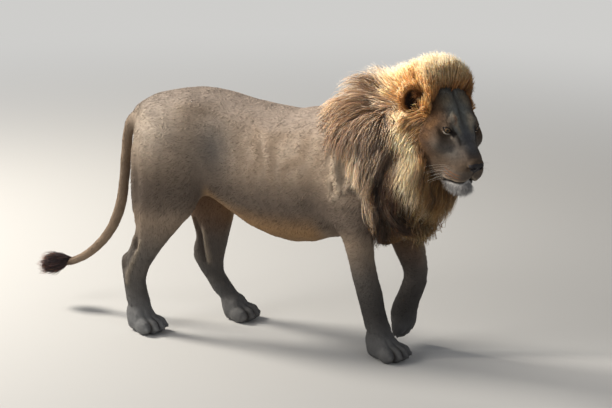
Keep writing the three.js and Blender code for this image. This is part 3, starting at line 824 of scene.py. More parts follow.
def head_markings(q, colour):
    """Colours of the face laid over the body's: grey bridge, pale eye patches and muzzle, dark lines."""
    side, q = np.sign(q[:, 1]), mirrored(q)
    x, y, z = q.T
    on_head = ease(z, -200, -172) * ease(x, 60, 30)
    face = ease(x, -330, -270)
    cloud = waves(q, 46, 21)
    across, up, away = eye_angles(q)
    past, around = past_lids(across, up), away < 46
    under = ease(up, -2, -14) * ease(np.abs(across + 4), 52, 34)
    tear = bump(y - np.interp(x, [-142, -115, -94, -66], [55, 45, 39, 44]), 5.5)
    angle, above = mouth_line(q)
    pad = ease(x, -132, -104) * ease(above, 66, 48) * ease(above, -2, 2)
    row = ease(np.sin(2 * np.pi * (above - 4 + 0.10 * x) / 15.5), 0.1, 0.9)
    rows = row * ease(x, -116, -96) * ease(x, -18, -34) * ease(above, 5, 12) * ease(above, 56, 46)
    lips = bump(above + 3.5, 9.0) * ease(angle, 118, 112) * (x > -150)
    corner = bump(np.linalg.norm(q - np.array((-124, 62, -112)), axis=1), 15)
    lip_cleft = bump(y, 2.6) * ease(x, -40, -24) * ease(z, -18, -26) * ease(z, -86, -70)
    ear, p = ear_form(q) < 6, in_ear(q)
    ear_front = ease(p[:, 0], -EAR["radii"][0] * 0.8, -EAR["radii"][0] * 0.4)
    c = layered(
        colour,
        # tan, redder towards the ears
        ("615040", face),
        ("5E3F26", face * ease(x, -135, -215) * ease(y, 55, 100) * 0.8),
        ("83603C", face * bump(x + 205, 22) * ease(y, 80, 110) * (0.3 + 0.4 * cloud)),
        # grey bridge, with a dark line up the brow
        ("7A7F7D", ease(z, 25, 90) * ease(y, 78, 30) * face * 0.85),
        ("535459", bump(y, 34) * ease(x, -10, -60) * ease(x, -175, -110) * ease(z, -8, 20) * 0.85),
        ("75716C", bump(x + 105, 45) * bump(z - 15, 30) * 0.75),
        ("A08A68", bump(x + 235, 26) * bump(y - 40, 26) * ease(z, 80, 120) * 0.5),
        ("3A2E24", bump(y, 8) * ease(x, -300, -270) * ease(x, -120, -165) * ease(z, 60, 90) * 0.55),
        # pale over the eyes, reddish too over the right one, and under them; black lids and tear line
        ("B3A48C", bump(x + 162, 24) * bump(y - 36, 15) * ease(z, 88, 100) * 0.75),
        ("A89880", bump(x + 132, 18) * bump(y - 29, 9) * ease(z, 68, 82) * 0.6),
        ("7E5238", (side < 0) * bump(x + 156, 12) * bump(y - 40, 8) * ease(z, 92, 108) * 0.7),
        ("E4DACA", around * bump(past - 19, 8) * under * 0.85),
        ("120D0A", around * ease(past, 14, 8)),
        ("1F1713", tear * ease(x, -148, -140) * ease(x, -66, -100) * ease(z, 5, 25) * 0.85),
        # whisker pads with their rows, white chin, tan throat, black lips
        ("6B5F54", pad),
        ("8E5F3C", pad * rows * 0.8),
        ("AD9D88", pad * bump(above - 9, 6) * 0.85),
        ("C4C2C0", ease(above, -5, -12) * ease(x, -128, -100) * ease(z, -156, -130)),
        ("A9834F", ease(z, -128, -150) * ease(x, -60, -130) * face * 0.8),
        ("120E0C", np.maximum(lips, 0.8 * corner)),
        ("120E0C", lip_cleft * 0.9),
        # golden ears, with painted shade inside the bowl, darkest at its base
        ("9A6632", ear),
        ("1E140E", ear * ease(ear_rim(p), 0.90, 0.55) * ear_front),
        ("0E0A08", ear * bump(p[:, 1] + 4, 22) * bump(p[:, 2] + 20, 26) * ear_front))
    c = c * (1 + 0.07 * cloud * face)[:, None]
    c = c * ((1 + face * 0.10 * waves(q, 15, 22, 11)) * (1 - 0.2 * face * ease(z, 70, 0)))[:, None]
    return colour + (c - colour) * on_head[:, None]


def mane_cover(m, q):
    """1 where the mane grows and 0 on the bare coat and the face, with soft edges."""
    x, z = m[:, 0], m[:, 2]
    hx, hz = q[:, 0], q[:, 2]
    edge = np.interp(z, *SHOULDER_EDGE)
    on_shoulder = ease(x - edge + 16 * waves(m, 150, 31) + 9 * waves(m, 45, 33), -34, 34)
    off_face = ease(np.interp(hz, *HAIRLINE) - hx + 5 * waves(q, 40, 32), -10, 14)
    return on_shoulder * ease(z, 535, 660) * off_face * ease(ear_form(mirrored(q)), -2, 6)


# how far back the mane reaches at each height of the lion, and how far forward at each height of the head
SHOULDER_EDGE = ([500, 600, 700, 800, 890, 960, 1010, 1100, 1180],
                 [450, 412, 398, 396, 376, 330, 278, 208, 190])
HAIRLINE = ([-170, -140, -100, -60, 0, 60, 110, 150, 180, 200],
            [-112, -148, -188, -198, -210, -229, -240, -254, -276, -290])


def mane_markings(m, q):
    """Colours of the mane: blond crown, palest at its top as painted backlight, over a dark brow; pale cheek
    ruff brightened as painted sunlight beside a band of painted shade; brown neck; nearly black chest.
    """
    x, z = m[:, 0], m[:, 2]
    hx, hy, hz = mirrored(q).T
    cloud = waves(m, 130, 41) * 0.5 + waves(m, 55, 42) * 0.35
    streak = bump(x - 340 + 0.25 * (z - 820) * (z < 820), 42)
    slant = 0.12 * (z - 700)
    of_head = ease(hx, -520, -400)
    crown = of_head * ease(hz, 90, 170)
    before_ear = np.maximum(bump(hx + 288, 22) * bump(hz - 62, 26),
                            0.8 * bump(hx + 302, 20) * bump(hz - 22, 34))
    brow = ease(hx, -300, -272) * ease(hy, 112, 92) * ease(hz, 205, 170) * ease(hz, 90, 125)
    band = hx + 268 - (-20 - hz) * 0.66
    ruff = of_head * ease(hy, 62, 110) * ease(hz, 92, 40) * ease(hz, -225, -165)
    beard = ease(hx, -330, -250) * ease(hz, -130, -175) * ease(hy, 120, 70)
    return layered(
        np.tile(tone("907A69"), (len(m), 1)),
        # neck and shoulder, down to the dark chest
        ("A98C72", ease(z, 980, 1120) * (0.75 + 0.4 * cloud)),
        ("E2BC8A", ease(z, 1110, 1230) * ease(x, 330, 500) * 0.9),
        ("D2BBA2", streak * ease(z, 560, 640) * ease(z, 960, 880)),
        ("33241A", ease(x, 372 - slant, 450 - slant) * ease(z, 980, 800) * (0.85 + 0.5 * cloud)),
        ("241912", bump(x - 490, 90) * ease(z, 830, 700) * (0.8 + 0.4 * cloud)),
        ("6E4C2C", ease(x, 590, 660) * ease(z, 860, 760) * (0.75 + 0.5 * cloud)),
        ("4A3525", ease(z, 640, 540) * 0.6),
        # crown, temples and the dark hair in front of the ear
        ("F4CD9C", crown * (0.95 + 0.2 * cloud)),
        # painted backlight pales the top of the crown
        ("F3DBAF", crown * ease(hz, 225, 300)),
        ("B4753A", of_head * ease(hx, -300, -265) * ease(hz, 50, 90) * ease(hz, 190, 150)),
        ("1E1512", of_head * before_ear * ease(hy, 70, 95) * 0.9),
        ("AB7542", of_head * ease(hx, -318, -258) * ease(hz, 120, 150) * ease(hz, 258, 205)),
        ("D59C5A", of_head * ease(hy, 60, 110) * ease(hz, 30, 90) * ease(hz, 240, 190) * 0.7),
        ("6B4526", of_head * brow * 0.7),
        # cheek ruff: a pale band between two dark ones, then the beard
        # painted shade deepens the dark band behind the pale one
        ("4E3A2C", ruff * bump(band + 92, 34) * (0.8 + 0.4 * cloud)),
        ("8F6538", ruff * bump(band - 34, 52) * (0.95 + 0.3 * cloud)),
        # painted sunlight brightens the pale band
        ("FFDFB0", ruff * bump(band + 26, 30) * (1.3 + 0.4 * cloud)),
        ("86643A", beard * (0.8 + 0.5 * cloud)))


SKIN_SHADE, MANE_SHADE = 0.83, 0.7


def coat_markings(p, n):
    """Colour of skin and coat at a point with its outward way: sandy sides, painted shade on the loin and lower
    side, painted light on the rump, on the back where it faces up and on the near shoulder folds, warm belly
    and inner legs, greyer shins darkened lower down by painted shade, painted light and shade along the sinews,
    pale paws with painted shade in the gaps between the toes, then the face and the mane."""
    m, q = in_lion(p), in_head(p)
    x, y, z = m.T
    cloud = waves(m, 210, 11) * 0.6 + waves(m, 80, 12) * 0.4
    ripple = 0.16 * waves(m, 70, 8)
    # rings of the shoulder folds, for painted light on their rims and painted shade in their pits
    folds = [(np.hypot((x - ahead) / wide, (z - up) / tall), FOLD_RIM / wide)
             for (ahead, up), (wide, tall), _ in SHOULDER_FOLDS]
    painted_rim_light = sum(bump(ring + ripple - 1, rim) for ring, rim in folds)
    painted_pit_shade = sum(bump(ring, 0.7) for ring, _ in folds)
    # where painted light pales the near shoulder
    shoulder = bump(x - 268, 40) * bump(z - 850, 110)
    inner = ease(-n[:, 1] * np.sign(y), 0.1, 0.7)
    # stripes and mask for painted light on the ridges of the flank folds
    crease = ease(np.sin(2 * np.pi * (x - 0.22 * z + 40 * waves(m, 230, 6)) / 92), -0.6, 1.2)
    painted_fold_light = bump(x + 20, 210) * bump(z - 900, 130) * crease
    belly = ease(x, -480, -380) * (1 - ease(x, 90, 180))
    legs = ease(z, 620, 480)
    inner_legs = inner * (1 - ease(x, 100, 200) * ease(y, 0, -60)) * ease(z, 180, 330) * ease(z, 900, 700)
    hind_inner = inner * (x < -300) * ease(z, 400, 600) * ease(z, 780, 600)
    paws = ease(z, 200, 40) * (x > -850)
    tail = ease(x, -815, -850)
    # painted highlights on the sinews' ridges and painted shade in their grooves
    sinews = [("C4B39C" if height > 0 else "3B2D23",
               (np.sign(y) == side) * bump(off_line(x, z, line), width) * 0.45)
              for side, line, width, height in SINEWS]
    c = layered(
        np.tile(tone("8E7C6A"), (len(m), 1)),
        # painted shade on the loin and the lower side; painted light on the rump, the back and the shoulder
        # fold
        ("575350", bump(x + 345, 125) * bump(z - 860, 170) * 0.85),
        ("564B43", ease(z, 840, 640) * ease(z, 500, 600) * 0.8),
        # painted light: the rump paler, and the back paler where it faces up
        ("C9BAA9", bump(x + 650, 130) * ease(z, 700, 950) * 0.75),
        ("92857A", ease(n[:, 2], 0.25, 0.85) * ease(z, 880, 980) * 0.85),
        # painted light on the near shoulder, the fold rims and the fold ridges; painted shade in the fold pits
        ("CDBBA4", (y < 0) * np.maximum(painted_rim_light * 0.4, 0.6 * shoulder)),
        ("5E4C3E", (y < 0) * painted_pit_shade * 0.35),
        ("B5A695", painted_fold_light * ease(n[:, 2], 0.75, 0.35) * 0.45),
        # warm belly and inner legs
        ("93704A", belly * ease(z, 640, 500) * ease(z, 400, 470) * 0.8),
        ("A8845A", belly * ease(n[:, 2], -0.25, -0.8) * ease(z, 330, 420) * 0.7),
        ("6C4C32", inner_legs * 0.8),
        # grey shins deepened lower down by painted shade, most on the fore legs; pale paws with painted shade
        # in the toe gaps, and dark soles
        ("55524F", legs * ease(z, 540, 330) * (x > -900) * 0.85),
        ("383635", (x > 100) * ease(z, 400, 220) * 0.8),
        ("52504E", (x < 100) * legs * ease(z, 300, 200) * 0.6),
        ("4A2F1C", hind_inner * ease(waves(m, 120, 13), -0.3, 1.2) * 0.6),
        ("7A7B7C", paws * np.where(x < -450, 0.85, 0.5)),
        ("2C2520", toe_gaps(p) * 0.85),
        ("2A2420", ease(n[:, 2], -0.75, -0.95) * ease(z, 12, 4) * 0.9),
        ("96806A", tail * 0.6),
        ("5A4436", tail * ease(x, -1100, -1190) * 0.85),
        *sinews)
    c = c * (1 + 0.06 * cloud + 0.05 * waves(m, 30, 15, 11))[:, None]
    c = head_markings(q, c) * SKIN_SHADE
    return c + (mane_markings(m, q) * MANE_SHADE - c) * mane_cover(m, q)[:, None]


def hair_lie(p, n):
    """Unit way the hair points: back along the trunk, down the legs, up and back over the face, along the
    tail, always flat to the skin."""
    m, q = in_lion(p), in_head(p)
    x, y, z = m.T
    hx, hy, hz = mirrored(q).T
    flat = np.zeros(len(m))
    cheek = ease(hy, 40, 90) * ease(hz, 60, -20)
    chin = ease(hz, -90, -130)
    over_face = np.stack([flat - 1, 0.35 * cheek, 0.35 - 0.75 * cheek - 0.7 * chin], -1) * to_side(q)
    hang = np.interp(-x, *TAIL_SLOPE)
    lifted = (x > 350) & (y > 30)
    way = np.stack([flat - 1, flat, -0.22 - 0.5 * ease(z, 900, 600)], -1)
    for towards, amount in (
            (np.array([-0.12, 0, -1.0]), ease(z, 640, 460) * (x > -830)),
            (np.array([0.9, 0, -0.35]), ease(z, 115, 60) * ((x > -830) & ~lifted)),
            (over_face @ HEAD_TURN.T, ease(hx, -420, -340)),
            (np.stack([-np.cos(hang), flat, -np.sin(hang)], -1), ease(x, -800, -830))):
        way = way + amount[:, None] * (towards - way)
    return unit(way - (way * n).sum(-1, keepdims=True) * n)


# how steeply the tail hangs (radians) at each distance behind the lion's middle
TAIL_SLOPE = ([800, 835, 860, 890, 930, 1000, 1080, 1180, 1300],
              [0.8, 1.25, 1.46, 1.3, 1.05, 0.78, 0.55, 0.3, 0.1])


def paint(mesh, colours):
    layer = mesh.color_attributes.new("coat", "FLOAT_COLOR", "POINT")
    layer.data.foreach_set("color", np.insert(colours, 3, 1, axis=1).astype(np.float32).ravel())


def carry(mesh, name, numbers):
    """Gives each point of the mesh its own number under this name."""
    mesh.attributes.new(name, "FLOAT", "POINT").data.foreach_set("value", numbers.astype(np.float32))


def solid_mesh(name, points, faces):
    """A mesh of triangles from whole arrays, shaded smooth."""
    mesh = bpy.data.meshes.new(name)
    mesh.vertices.add(len(points))
    mesh.vertices.foreach_set("co", np.ascontiguousarray(points, np.float32).ravel())
    mesh.loops.add(len(faces) * 3)
    mesh.loops.foreach_set("vertex_index", np.ascontiguousarray(faces, np.int32).ravel())
    mesh.polygons.add(len(faces))
    mesh.polygons.foreach_set("loop_start", np.arange(len(faces), dtype=np.int32) * 3)
    mesh.update(calc_edges=True)
    mesh.shade_smooth()
    return mesh


def stand_in(mesh, slot, *nodes):
    """The mesh as a piece of the lion that rides on it and takes the place of the CAD nodes."""
    piece = bpy.data.objects.new(mesh.name, mesh)
    scene.collection.objects.link(piece)
    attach(piece, "root")
    if nodes:
        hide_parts(*nodes)
    return piece


hide_mesh = solid_mesh("hide", skin_points, skin_faces)
paint(hide_mesh, coat_markings(skin_points, normals))
carry(hide_mesh, "hang", np.abs(hair_lie(skin_points, normals)[:, 2]))
carry(hide_mesh, "fine", ease(in_head(skin_points)[:, 0], -330, -280))

fur = Shader("short fur")
here, hang_down, on_the_face = fur.here(), fur.number("hang"), fur.number("fine")
# streaks along the trunk, down the legs and fine ones on the face
streaks = []
for scale in ((26, 170, 170), (170, 170, 26), (300, 300, 300)):
    spread = fur.node("Mapping", i0=here, Scale=scale).outputs[0]
    streaks.append(fur.value("TexNoise", 0, Vector=spread, Scale=1.0, Detail=3.0, Roughness=0.6))
flat_lie, hanging_lie, face_lie = streaks
strand = flat_lie * (1 - hang_down) + hanging_lie * hang_down
strand = strand * (1 - on_the_face) + face_lie * on_the_face
patches = fur.value("TexNoise", 0, Vector=here, Scale=14.0, Detail=4.0)
height = fur.node("Bump", Strength=0.55, Distance=0.004, Height=strand + patches * 0.4)
hide_mesh.materials.append(fur.finish(
    Base_Color=fur.painted(0.62 + strand * 0.55 + patches * 0.22), Roughness=0.78,
    Specular_IOR_Level=0.25, Normal=height.outputs["Normal"]))
flesh_nodes = [name for names in FLESH.values() for name in names]
stand_in(hide_mesh, "coat", *flesh_nodes, "head", "right_ear", "left_ear")


# ---- The eyes ----
# Amber globes of a big cat with a round pupil and a dark rim, wet and clear over the iris. They sit in the
# sockets behind the lids and look ahead and a little outwards.
CORNEA_RISE, CORNEA_WIDTH = 0.07, 34


def globe(side):
    """An eyeball: rings round the way it looks, drawn out a little over the iris, closed by two poles."""
    rings, sides = 40, 64
    off = np.linspace(0, np.pi, rings + 1)[1:-1, None]
    around = np.arange(sides) * 2 * np.pi / sides
    radius = EYE["ball"] * (1 + CORNEA_RISE * bump(np.degrees(off), CORNEA_WIDTH))
    ring = np.stack([np.repeat(radius * np.cos(off), sides, 1), radius * np.sin(off) * np.cos(around),
                     radius * np.sin(off) * np.sin(around)], -1).reshape(-1, 3)
    points = np.concatenate([ring, [[EYE["ball"] * (1 + CORNEA_RISE), 0, 0], [-EYE["ball"], 0, 0]]])
    front, rear = len(ring), len(ring) + 1
    one, two = np.arange(sides), (np.arange(sides) + 1) % sides
    row = np.arange(rings - 2)[:, None] * sides
    a, b, end = (row + one).ravel(), (row + two).ravel(), (rings - 2) * sides
    faces = np.concatenate([np.stack([b + sides, b, a], -1), np.stack([a + sides, b + sides, a], -1),
                            np.stack([np.full(sides, front), one, two], -1),
                            np.stack([np.full(sides, rear), end + two, end + one], -1)])
    q = points @ EYE_TURN.T + np.array(EYE_MIDDLE)
    q[:, 1] *= side
    return out_of_head(q), faces if side > 0 else faces[:, ::-1]


wet = Shader("amber eye")
off_gaze, turn_round = wet.number("off"), wet.number("turn")
spread = wet.node("CombineXYZ", X=turn_round * 40.0, Y=off_gaze * 3.0).outputs[0]
spokes = wet.value("TexNoise", 0, {"noise_dimensions": "2D"}, Vector=spread, Scale=1.0, Detail=3.0)
# black pupil, amber iris with a dark rim, then the brown of the eye's corners
iris = wet.node("ValToRGB", stops=[
    (0.0, (0.004, 0.003, 0.003, 1)), (0.075, (0.004, 0.003, 0.003, 1)), (0.085, (0.08, 0.045, 0.018, 1)),
    (0.12, (0.17, 0.105, 0.05, 1)), (0.165, (0.10, 0.055, 0.025, 1)), (0.185, (0.02, 0.012, 0.008, 1)),
    (0.26, (0.05, 0.034, 0.026, 1)), (1.0, (0.08, 0.055, 0.04, 1))], Fac=off_gaze + spokes * 0.018 - 0.009)
amber = wet.finish(Base_Color=wet.scaled(iris.outputs[0], 0.65 + spokes * 0.7), Roughness=0.4,
                   Specular_IOR_Level=0.2, Coat_Weight=0.25, Coat_Roughness=0.05)
for name, side in (("right_eye", -1), ("left_eye", 1)):
    points, faces = globe(side)
    mesh = solid_mesh(name + "_globe", points, faces)
    p = (mirrored(in_head(points)) - np.array(EYE_MIDDLE)) @ EYE_TURN
    carry(mesh, "off", np.arccos(np.clip(p[:, 0] / np.linalg.norm(p, axis=1), -1, 1)) / np.pi)
    carry(mesh, "turn", np.abs(np.arctan2(p[:, 2], p[:, 1])) / np.pi)
    mesh.materials.append(amber)
    stand_in(mesh, "eye", name)


# ---- The nose leather ----
# Bare, finely pebbled black skin round the nostrils, set into the end of the muzzle and a hair proud of it.
NOSE_STEP, NOSE_MARGIN, PROUD = 0.0013, 0.012, 0.7
nose_low, nose_high = (np.array(v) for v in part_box("nose"))
leather = Field(nose_low - NOSE_MARGIN, nose_high + NOSE_MARGIN, NOSE_STEP)
q = in_head(leather.places().reshape(-1, 3))
half = mirrored(q)
patch = smooth_min(egg(half, (-20, 0, 2), (25, 36, 19), 0, -14), egg(half, (-14, 13, -8), (20, 20, 19)), 8)
patch = smooth_min(patch, egg(q, (-16, 0, -24), (14, 11, 15)), 8)
patch = smooth_max(patch, q[:, 2] - 17 + 0.012 * q[:, 1] ** 2, 4)
leather.values = (smooth_max(head_form(q) - PROUD, patch, 1.5) / 1000).reshape(leather.shape)
nose_mesh = solid_mesh("nose_leather", *largest(*leather.polygons(leather.values)))
black = Shader("nose leather")
here = black.here()
pebbles = black.value("TexVoronoi", 0, Vector=here, Scale=520.0)
mottle = black.value("TexNoise", 0, Vector=here, Scale=60.0, Detail=4.0)
pit = black.node("Bump", Strength=0.5, Distance=0.0012, Height=pebbles)
nose_mesh.materials.append(black.finish(
    Base_Color=black.blend((0.008, 0.007, 0.008, 1), (0.03, 0.026, 0.028, 1), mottle),
    Roughness=0.5 + mottle * 0.2, Specular_IOR_Level=0.3, Normal=pit.outputs["Normal"]))
stand_in(nose_mesh, "nose_leather", "nose")


# ---- The claws ----
# Sixteen hooked horn sheaths, drawn back so that only their dark tips show at the toes.
horn = Shader("claw horn")
spread = horn.node("Mapping", i0=horn.here(), Scale=(60, 260, 260)).outputs[0]
layers = horn.value("TexNoise", 0, Vector=spread, Scale=1.0, Detail=3.0)
horn_finish = horn.finish(Base_Color=horn.blend((0.035, 0.027, 0.02, 1), (0.14, 0.11, 0.08, 1), layers),
                          Roughness=0.3 + layers * 0.15)
for paw in PAWS:
    for n in range(1, 5):
        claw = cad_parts[f"{paw}_claw_{n}"]
        claw.data.materials.clear()
        claw.data.materials.append(horn_finish)


# ---- The mane ----
# Long coarse hair in tapering wavy locks. They grow from the hide of the crown, cheeks, neck, shoulders and
# chest, rise to the outer form of the mane and lie along it, gathered into clumps towards their tips.
class Outline:
    """The lion's whole outer form, hair and all, as one field, with the way out of it."""

    def __init__(self):
        self.field = Field(cad_low - MARGIN, cad_high + MARGIN, 0.012, reach=20)
        nodes = flesh_nodes + ["head", "neck_mane", "nose"]
        joined = np.minimum.reduce([self.field.node(name) for name in nodes]) - CLOSING
        points, faces = largest(*self.field.polygons(joined))
        self.field.values = self.field.surface(points, faces.astype(np.uint32)) + CLOSING
        self.field.soften(0.8)

    def inside(self, p):
        return -self.field.at(p)

    def outwards(self, p):
        nudge = 0.006 * np.eye(3)
        return unit(np.stack([self.field.at(p + step) - self.field.at(p - step) for step in nudge], -1))


outline = Outline()


def sow(weight, count, draw):
    """Places of `count` roots spread over the hide by area times weight. It returns a function that reads any
    values of the hide's points at the roots."""
    a, b, c = (skin_points[skin_faces[:, n]] for n in range(3))
    area = np.linalg.norm(np.cross(b - a, c - a), axis=1) * weight[skin_faces].mean(1)
    total = np.cumsum(area)
    face = np.searchsorted(total, draw.random(count) * total[-1])
    u, v = draw.random(count), draw.random(count)
    over = u + v > 1
    u[over], v[over] = 1 - u[over], 1 - v[over]
    share = np.stack([1 - u - v, u, v], -1)[..., None]
    return lambda values: (values[skin_faces[face]] * share).sum(1)


def rooted(weight, count, draw):
    """Roots sown over the hide, the way out of it at each, and the function that reads its values there."""
    at_roots = sow(weight, count, draw)
    return at_roots(skin_points), unit(at_roots(normals)), at_roots


def upright(start):
    """How far a lock stands up from the top of the neck behind the crown, by its root in the lion's mm."""
    x, y, z = start.T
    return ease(x, 330, 430) * ease(z, 1010, 1060) * ease(np.abs(y), 120, 50)


def behind_skull(x, y, z):
    """1 on the top of the neck just behind the skull, in the head's mm, y measured outwards."""
    return ease(y, 120, 75) * ease(z, -60, 0) * ease(x, -300, -350)


def mane_flow(p, root, along=0.0):
    """Way the mane's hair runs at p: back and down the neck, forward and down over the shoulder's front, up
    at the crown, down from cheeks and chin. `root` is where each lock grows, `along` how far along p is."""
    m, start = in_lion(p), in_head(root)
    low, forward = ease(m[:, 2], 1210, 930), ease(m[:, 2], 900, 700)
    way = np.stack([-0.92 + 0.70 * low + 0.50 * forward,
                    0.10 * np.sign(m[:, 1]) * (1 - low),
                    -0.34 - 0.7 * low + 1.5 * (1 - along) * upright(in_lion(root))], -1)
    front = ease(m[:, 0], 540, 640)[:, None]
    way = way + front * (np.array([0.05, 0, -1.0]) - way) * low[:, None]
    x, y, z = mirrored(start).T
    flat = np.zeros(len(p))
    crown = np.stack([np.interp(x, *CROWN_LEAN) - 0.35 * along, y / 260, flat + 1], -1)
    ruff = np.stack([0.28 - 0.55 * ease(z, -40, 70), flat + 0.16, flat - 1], -1)
    over_ear = np.maximum(ease(z, 76, 116), behind_skull(x, y, z))
    local = (ruff + over_ear[:, None] * (crown - ruff)) * to_side(start)
    of_head = (ease(x, -500, -420) * ease(z, -260, -210))[:, None]
    return unit(way + of_head * (local @ HEAD_TURN.T - way))


# how far the crown's hair leans forward, by how far back on the head it grows
CROWN_LEAN = ([-480, -420, -370, -320, -285, -262, -240], [-2.4, -1.7, -1.1, -0.45, -0.02, 0.18, 0.26])


# how hard the first two steps are pushed off the skin, and how deep a lock starts in it (m)
LIFT_OFF, ROOT_DEPTH = (0.55, 0.55 * 0.35), 0.004


def comb(roots, normal, length, depth, steps, hug, seed):
    """Paths of the locks: each step follows the flow and climbs or sinks until the lock runs at its own depth
    under the outline; a slow wave bends it. `hug` is 1 where locks lie flat and 0 where they stand free."""
    draw = np.random.default_rng(seed)
    phase, sway = draw.uniform(0, 6.28, len(roots)), draw.normal(0, 0.13, (len(roots), 3))
    p = roots - normal * ROOT_DEPTH
    path = [p]
    for k in range(steps):
        out = outline.outwards(p)
        way = mane_flow(p, roots, k / steps) + sway
        way = way - out * (way * out).sum(-1, keepdims=True) * 0.75 * hug[:, None]
        rise = np.clip((outline.inside(p) - depth) / 0.04, -1.2, 1)
        turn = np.sin(phase + 2.1 * k)[:, None] * np.cross(way, out) * 0.16
        off_skin = LIFT_OFF[k] if k < len(LIFT_OFF) else 0
        way = unit(way + out * (rise * hug * 0.85)[:, None] + turn + normal * off_skin * hug[:, None])
        p = p + way * (length / steps)[:, None]
        path.append(p)
    return np.stack(path, 1)


def unwrap(p):
    """Place of a point on a flat map of the hide: the trunk and head rolled out along their length in the
    lower half, each leg and the tail rolled out in strips above."""
    m = in_lion(p)
    x, y, z = m.T
    run = (np.clip(x, -800, 1000) + 800) / 1800
    middle = np.interp(x, [-800, -300, 0, 300, 900], [900, 820, 780, 860, 980])
    turn = np.arctan2(y - np.interp(x, [300, 900], [0, -180]), z - middle) / (2 * np.pi) + 0.5
    u, v = 0.01 + 0.98 * run, 0.01 + 0.48 * turn
    for n, (ahead, left) in enumerate(LEG_LINES):
        here = (z < 560) & (x > -830) & ((x < -100) == (n < 2)) & ((y < 0) == (n % 2 == 0))
        around = np.arctan2(y - left, x - ahead) / (2 * np.pi) + 0.5
        u = np.where(here, (n + 0.02 + 0.96 * around) / 4, u)
        v = np.where(here, 0.52 + 0.30 * np.clip(z / 560, 0, 1), v)
    tail = x < -830
    u = np.where(tail, 0.01 + 0.98 * np.clip((-x - 830) / 480, 0, 1), u)
    return np.stack([u, np.where(tail, 0.86 + 0.1 * (np.arctan2(y, z - 300) / (2 * np.pi) + 0.5), v)], -1)


# where each leg stands, right and left hind, then right and left fore, and how wide a tuft is on the map
LEG_LINES = [(-680, -150), (-450, 150), (360, -100), (470, 100)]
PATCH = 0.003


def tufts(name, path, wide, flat, colours, slot, material, nodes=(), out=None):
    """One mesh of closed three-sided tufts: rings of three corners along each path, drawn to a point at its
    end. `wide` is the half width at each ring, `flat` how thin it is for that, `out` its upper side."""
    count, rings = path.shape[0], path.shape[1] - 1
    way = unit(np.gradient(path, axis=1))
    out = outline.outwards(path[:, 0]) if out is None else out
    across = unit(np.cross(way, out[:, None]))
    up = np.cross(across, way)
    points = np.empty((count, rings * 3 + 1, 3))
    shades = np.empty((count, rings * 3 + 1, 3))
    for n, angle in enumerate((90, 210, 330)):
        c, s = math.cos(math.radians(angle)), math.sin(math.radians(angle))
        points[:, n:-1:3] = path[:, :-1] + (across[:, :-1] * c + up[:, :-1] * (s * flat)) * wide[..., None]
        shades[:, n:-1:3] = colours[:, :-1]
    points[:, -1], shades[:, -1] = path[:, -1], colours[:, -1]
    one = [(0, 2, 1)]
    for k in range(rings - 1):
        for n in range(3):
            a, b = 3 * k + n, 3 * k + (n + 1) % 3
            one += [(a, b, b + 3), (a, b + 3, a + 3)]
    tip, last = rings * 3, 3 * (rings - 1)
    one += [(last + n, last + (n + 1) % 3, tip) for n in range(3)]
    faces = (np.array(one)[None, :, ::-1] + (np.arange(count) * (tip + 1))[:, None, None]).reshape(-1, 3)
    mesh = solid_mesh(name, points.reshape(-1, 3), faces)
    paint(mesh, shades.reshape(-1, 3))
    rows = np.stack([np.tile([-0.4, 0.0, 0.4], rings), np.repeat(np.arange(rings) / rings - 0.5, 3)], -1)
    spot = np.concatenate([rows, [[0, 0.5]]]) * PATCH
    flat_map = unwrap(path[:, 0])[:, None] + spot
    layer = mesh.uv_layers.new(name="OFBake")
    layer.data.foreach_set("uv", flat_map.reshape(-1, 2)[faces.ravel()].astype(np.float32).ravel())
    mesh.materials.append(material)
    return stand_in(mesh, slot, *nodes)


hair = Shader("mane hair")
fleck = hair.value("TexNoise", 0, Vector=hair.here(), Scale=55.0, Detail=3.0)
mane_finish = hair.finish(
    Base_Color=hair.painted(0.72 + fleck * 0.56), Roughness=0.5 + fleck * 0.2, Specular_IOR_Level=0.35,
    Subsurface_Weight=0.7, Subsurface_Scale=0.004, Subsurface_Radius=(1.0, 0.7, 0.45))

LOCKS, CLUMPS, MANE_STEPS, PIECE = 27500, 1500, 5, 5200
draw = np.random.default_rng(71)
m, q = in_lion(skin_points), in_head(skin_points)
cover = mane_cover(m, q)
thicker = 1 + (0.6 + 2.2 * ease(q[:, 2], 90, 140)) * ease(q[:, 0], -470, -380)
roots, root_way, at_roots = rooted(np.where(cover > 0.12, cover, 0) * thicker, LOCKS, draw)
covered = at_roots(cover[:, None])[:, 0]
m, q = in_lion(roots), in_head(roots)
hx, hy, hz = mirrored(q).T
thick = np.clip(outline.inside(roots), 0, 0.24)
near_head = ease(hx, -470, -390) * ease(hz, -240, -180)
crown = ease(hx, -500, -430) * np.maximum(ease(hz, 80, 130), behind_skull(hx, hy, hz))
behind_ruff = bump(hx + 385 - 0.3 * hz, 50) * ease(hz, 60, -20) * ease(hy, 40, 90)

# how long each lock is and how deep it runs: as the room inside the outline allows, and straight at the crown
length = 0.115 + 0.085 * ease(m[:, 2], 1050, 700) - 0.03 * near_head + 1.0 * thick
reach, straight = np.zeros(LOCKS), mane_flow(roots, roots)
for _ in range(14):
    room_left = outline.inside(roots + straight * reach[:, None])
    reach = np.minimum(reach + np.maximum(room_left, -0.01), 0.24)
length = length + crown * (np.maximum(reach, 0.03) * 1.04 + 0.012 - length)
length *= draw.uniform(0.72 + 0.1 * crown, 1.18 - 0.1 * crown) * (0.45 + 0.55 * covered)
length *= 1 - 0.5 * (q[:, 1] > 0) * ease(hx, -335, -300) * bump(hz - 105, 60)
depth = draw.beta(1.1, 2.4, LOCKS) * np.minimum(0.075, thick * 0.8) + 0.001
depth = depth + 0.035 * behind_ruff * (thick > 0.05)
depth = depth + crown * (draw.beta(1.0, 2.0, LOCKS) * 0.05 - 0.010 - depth)
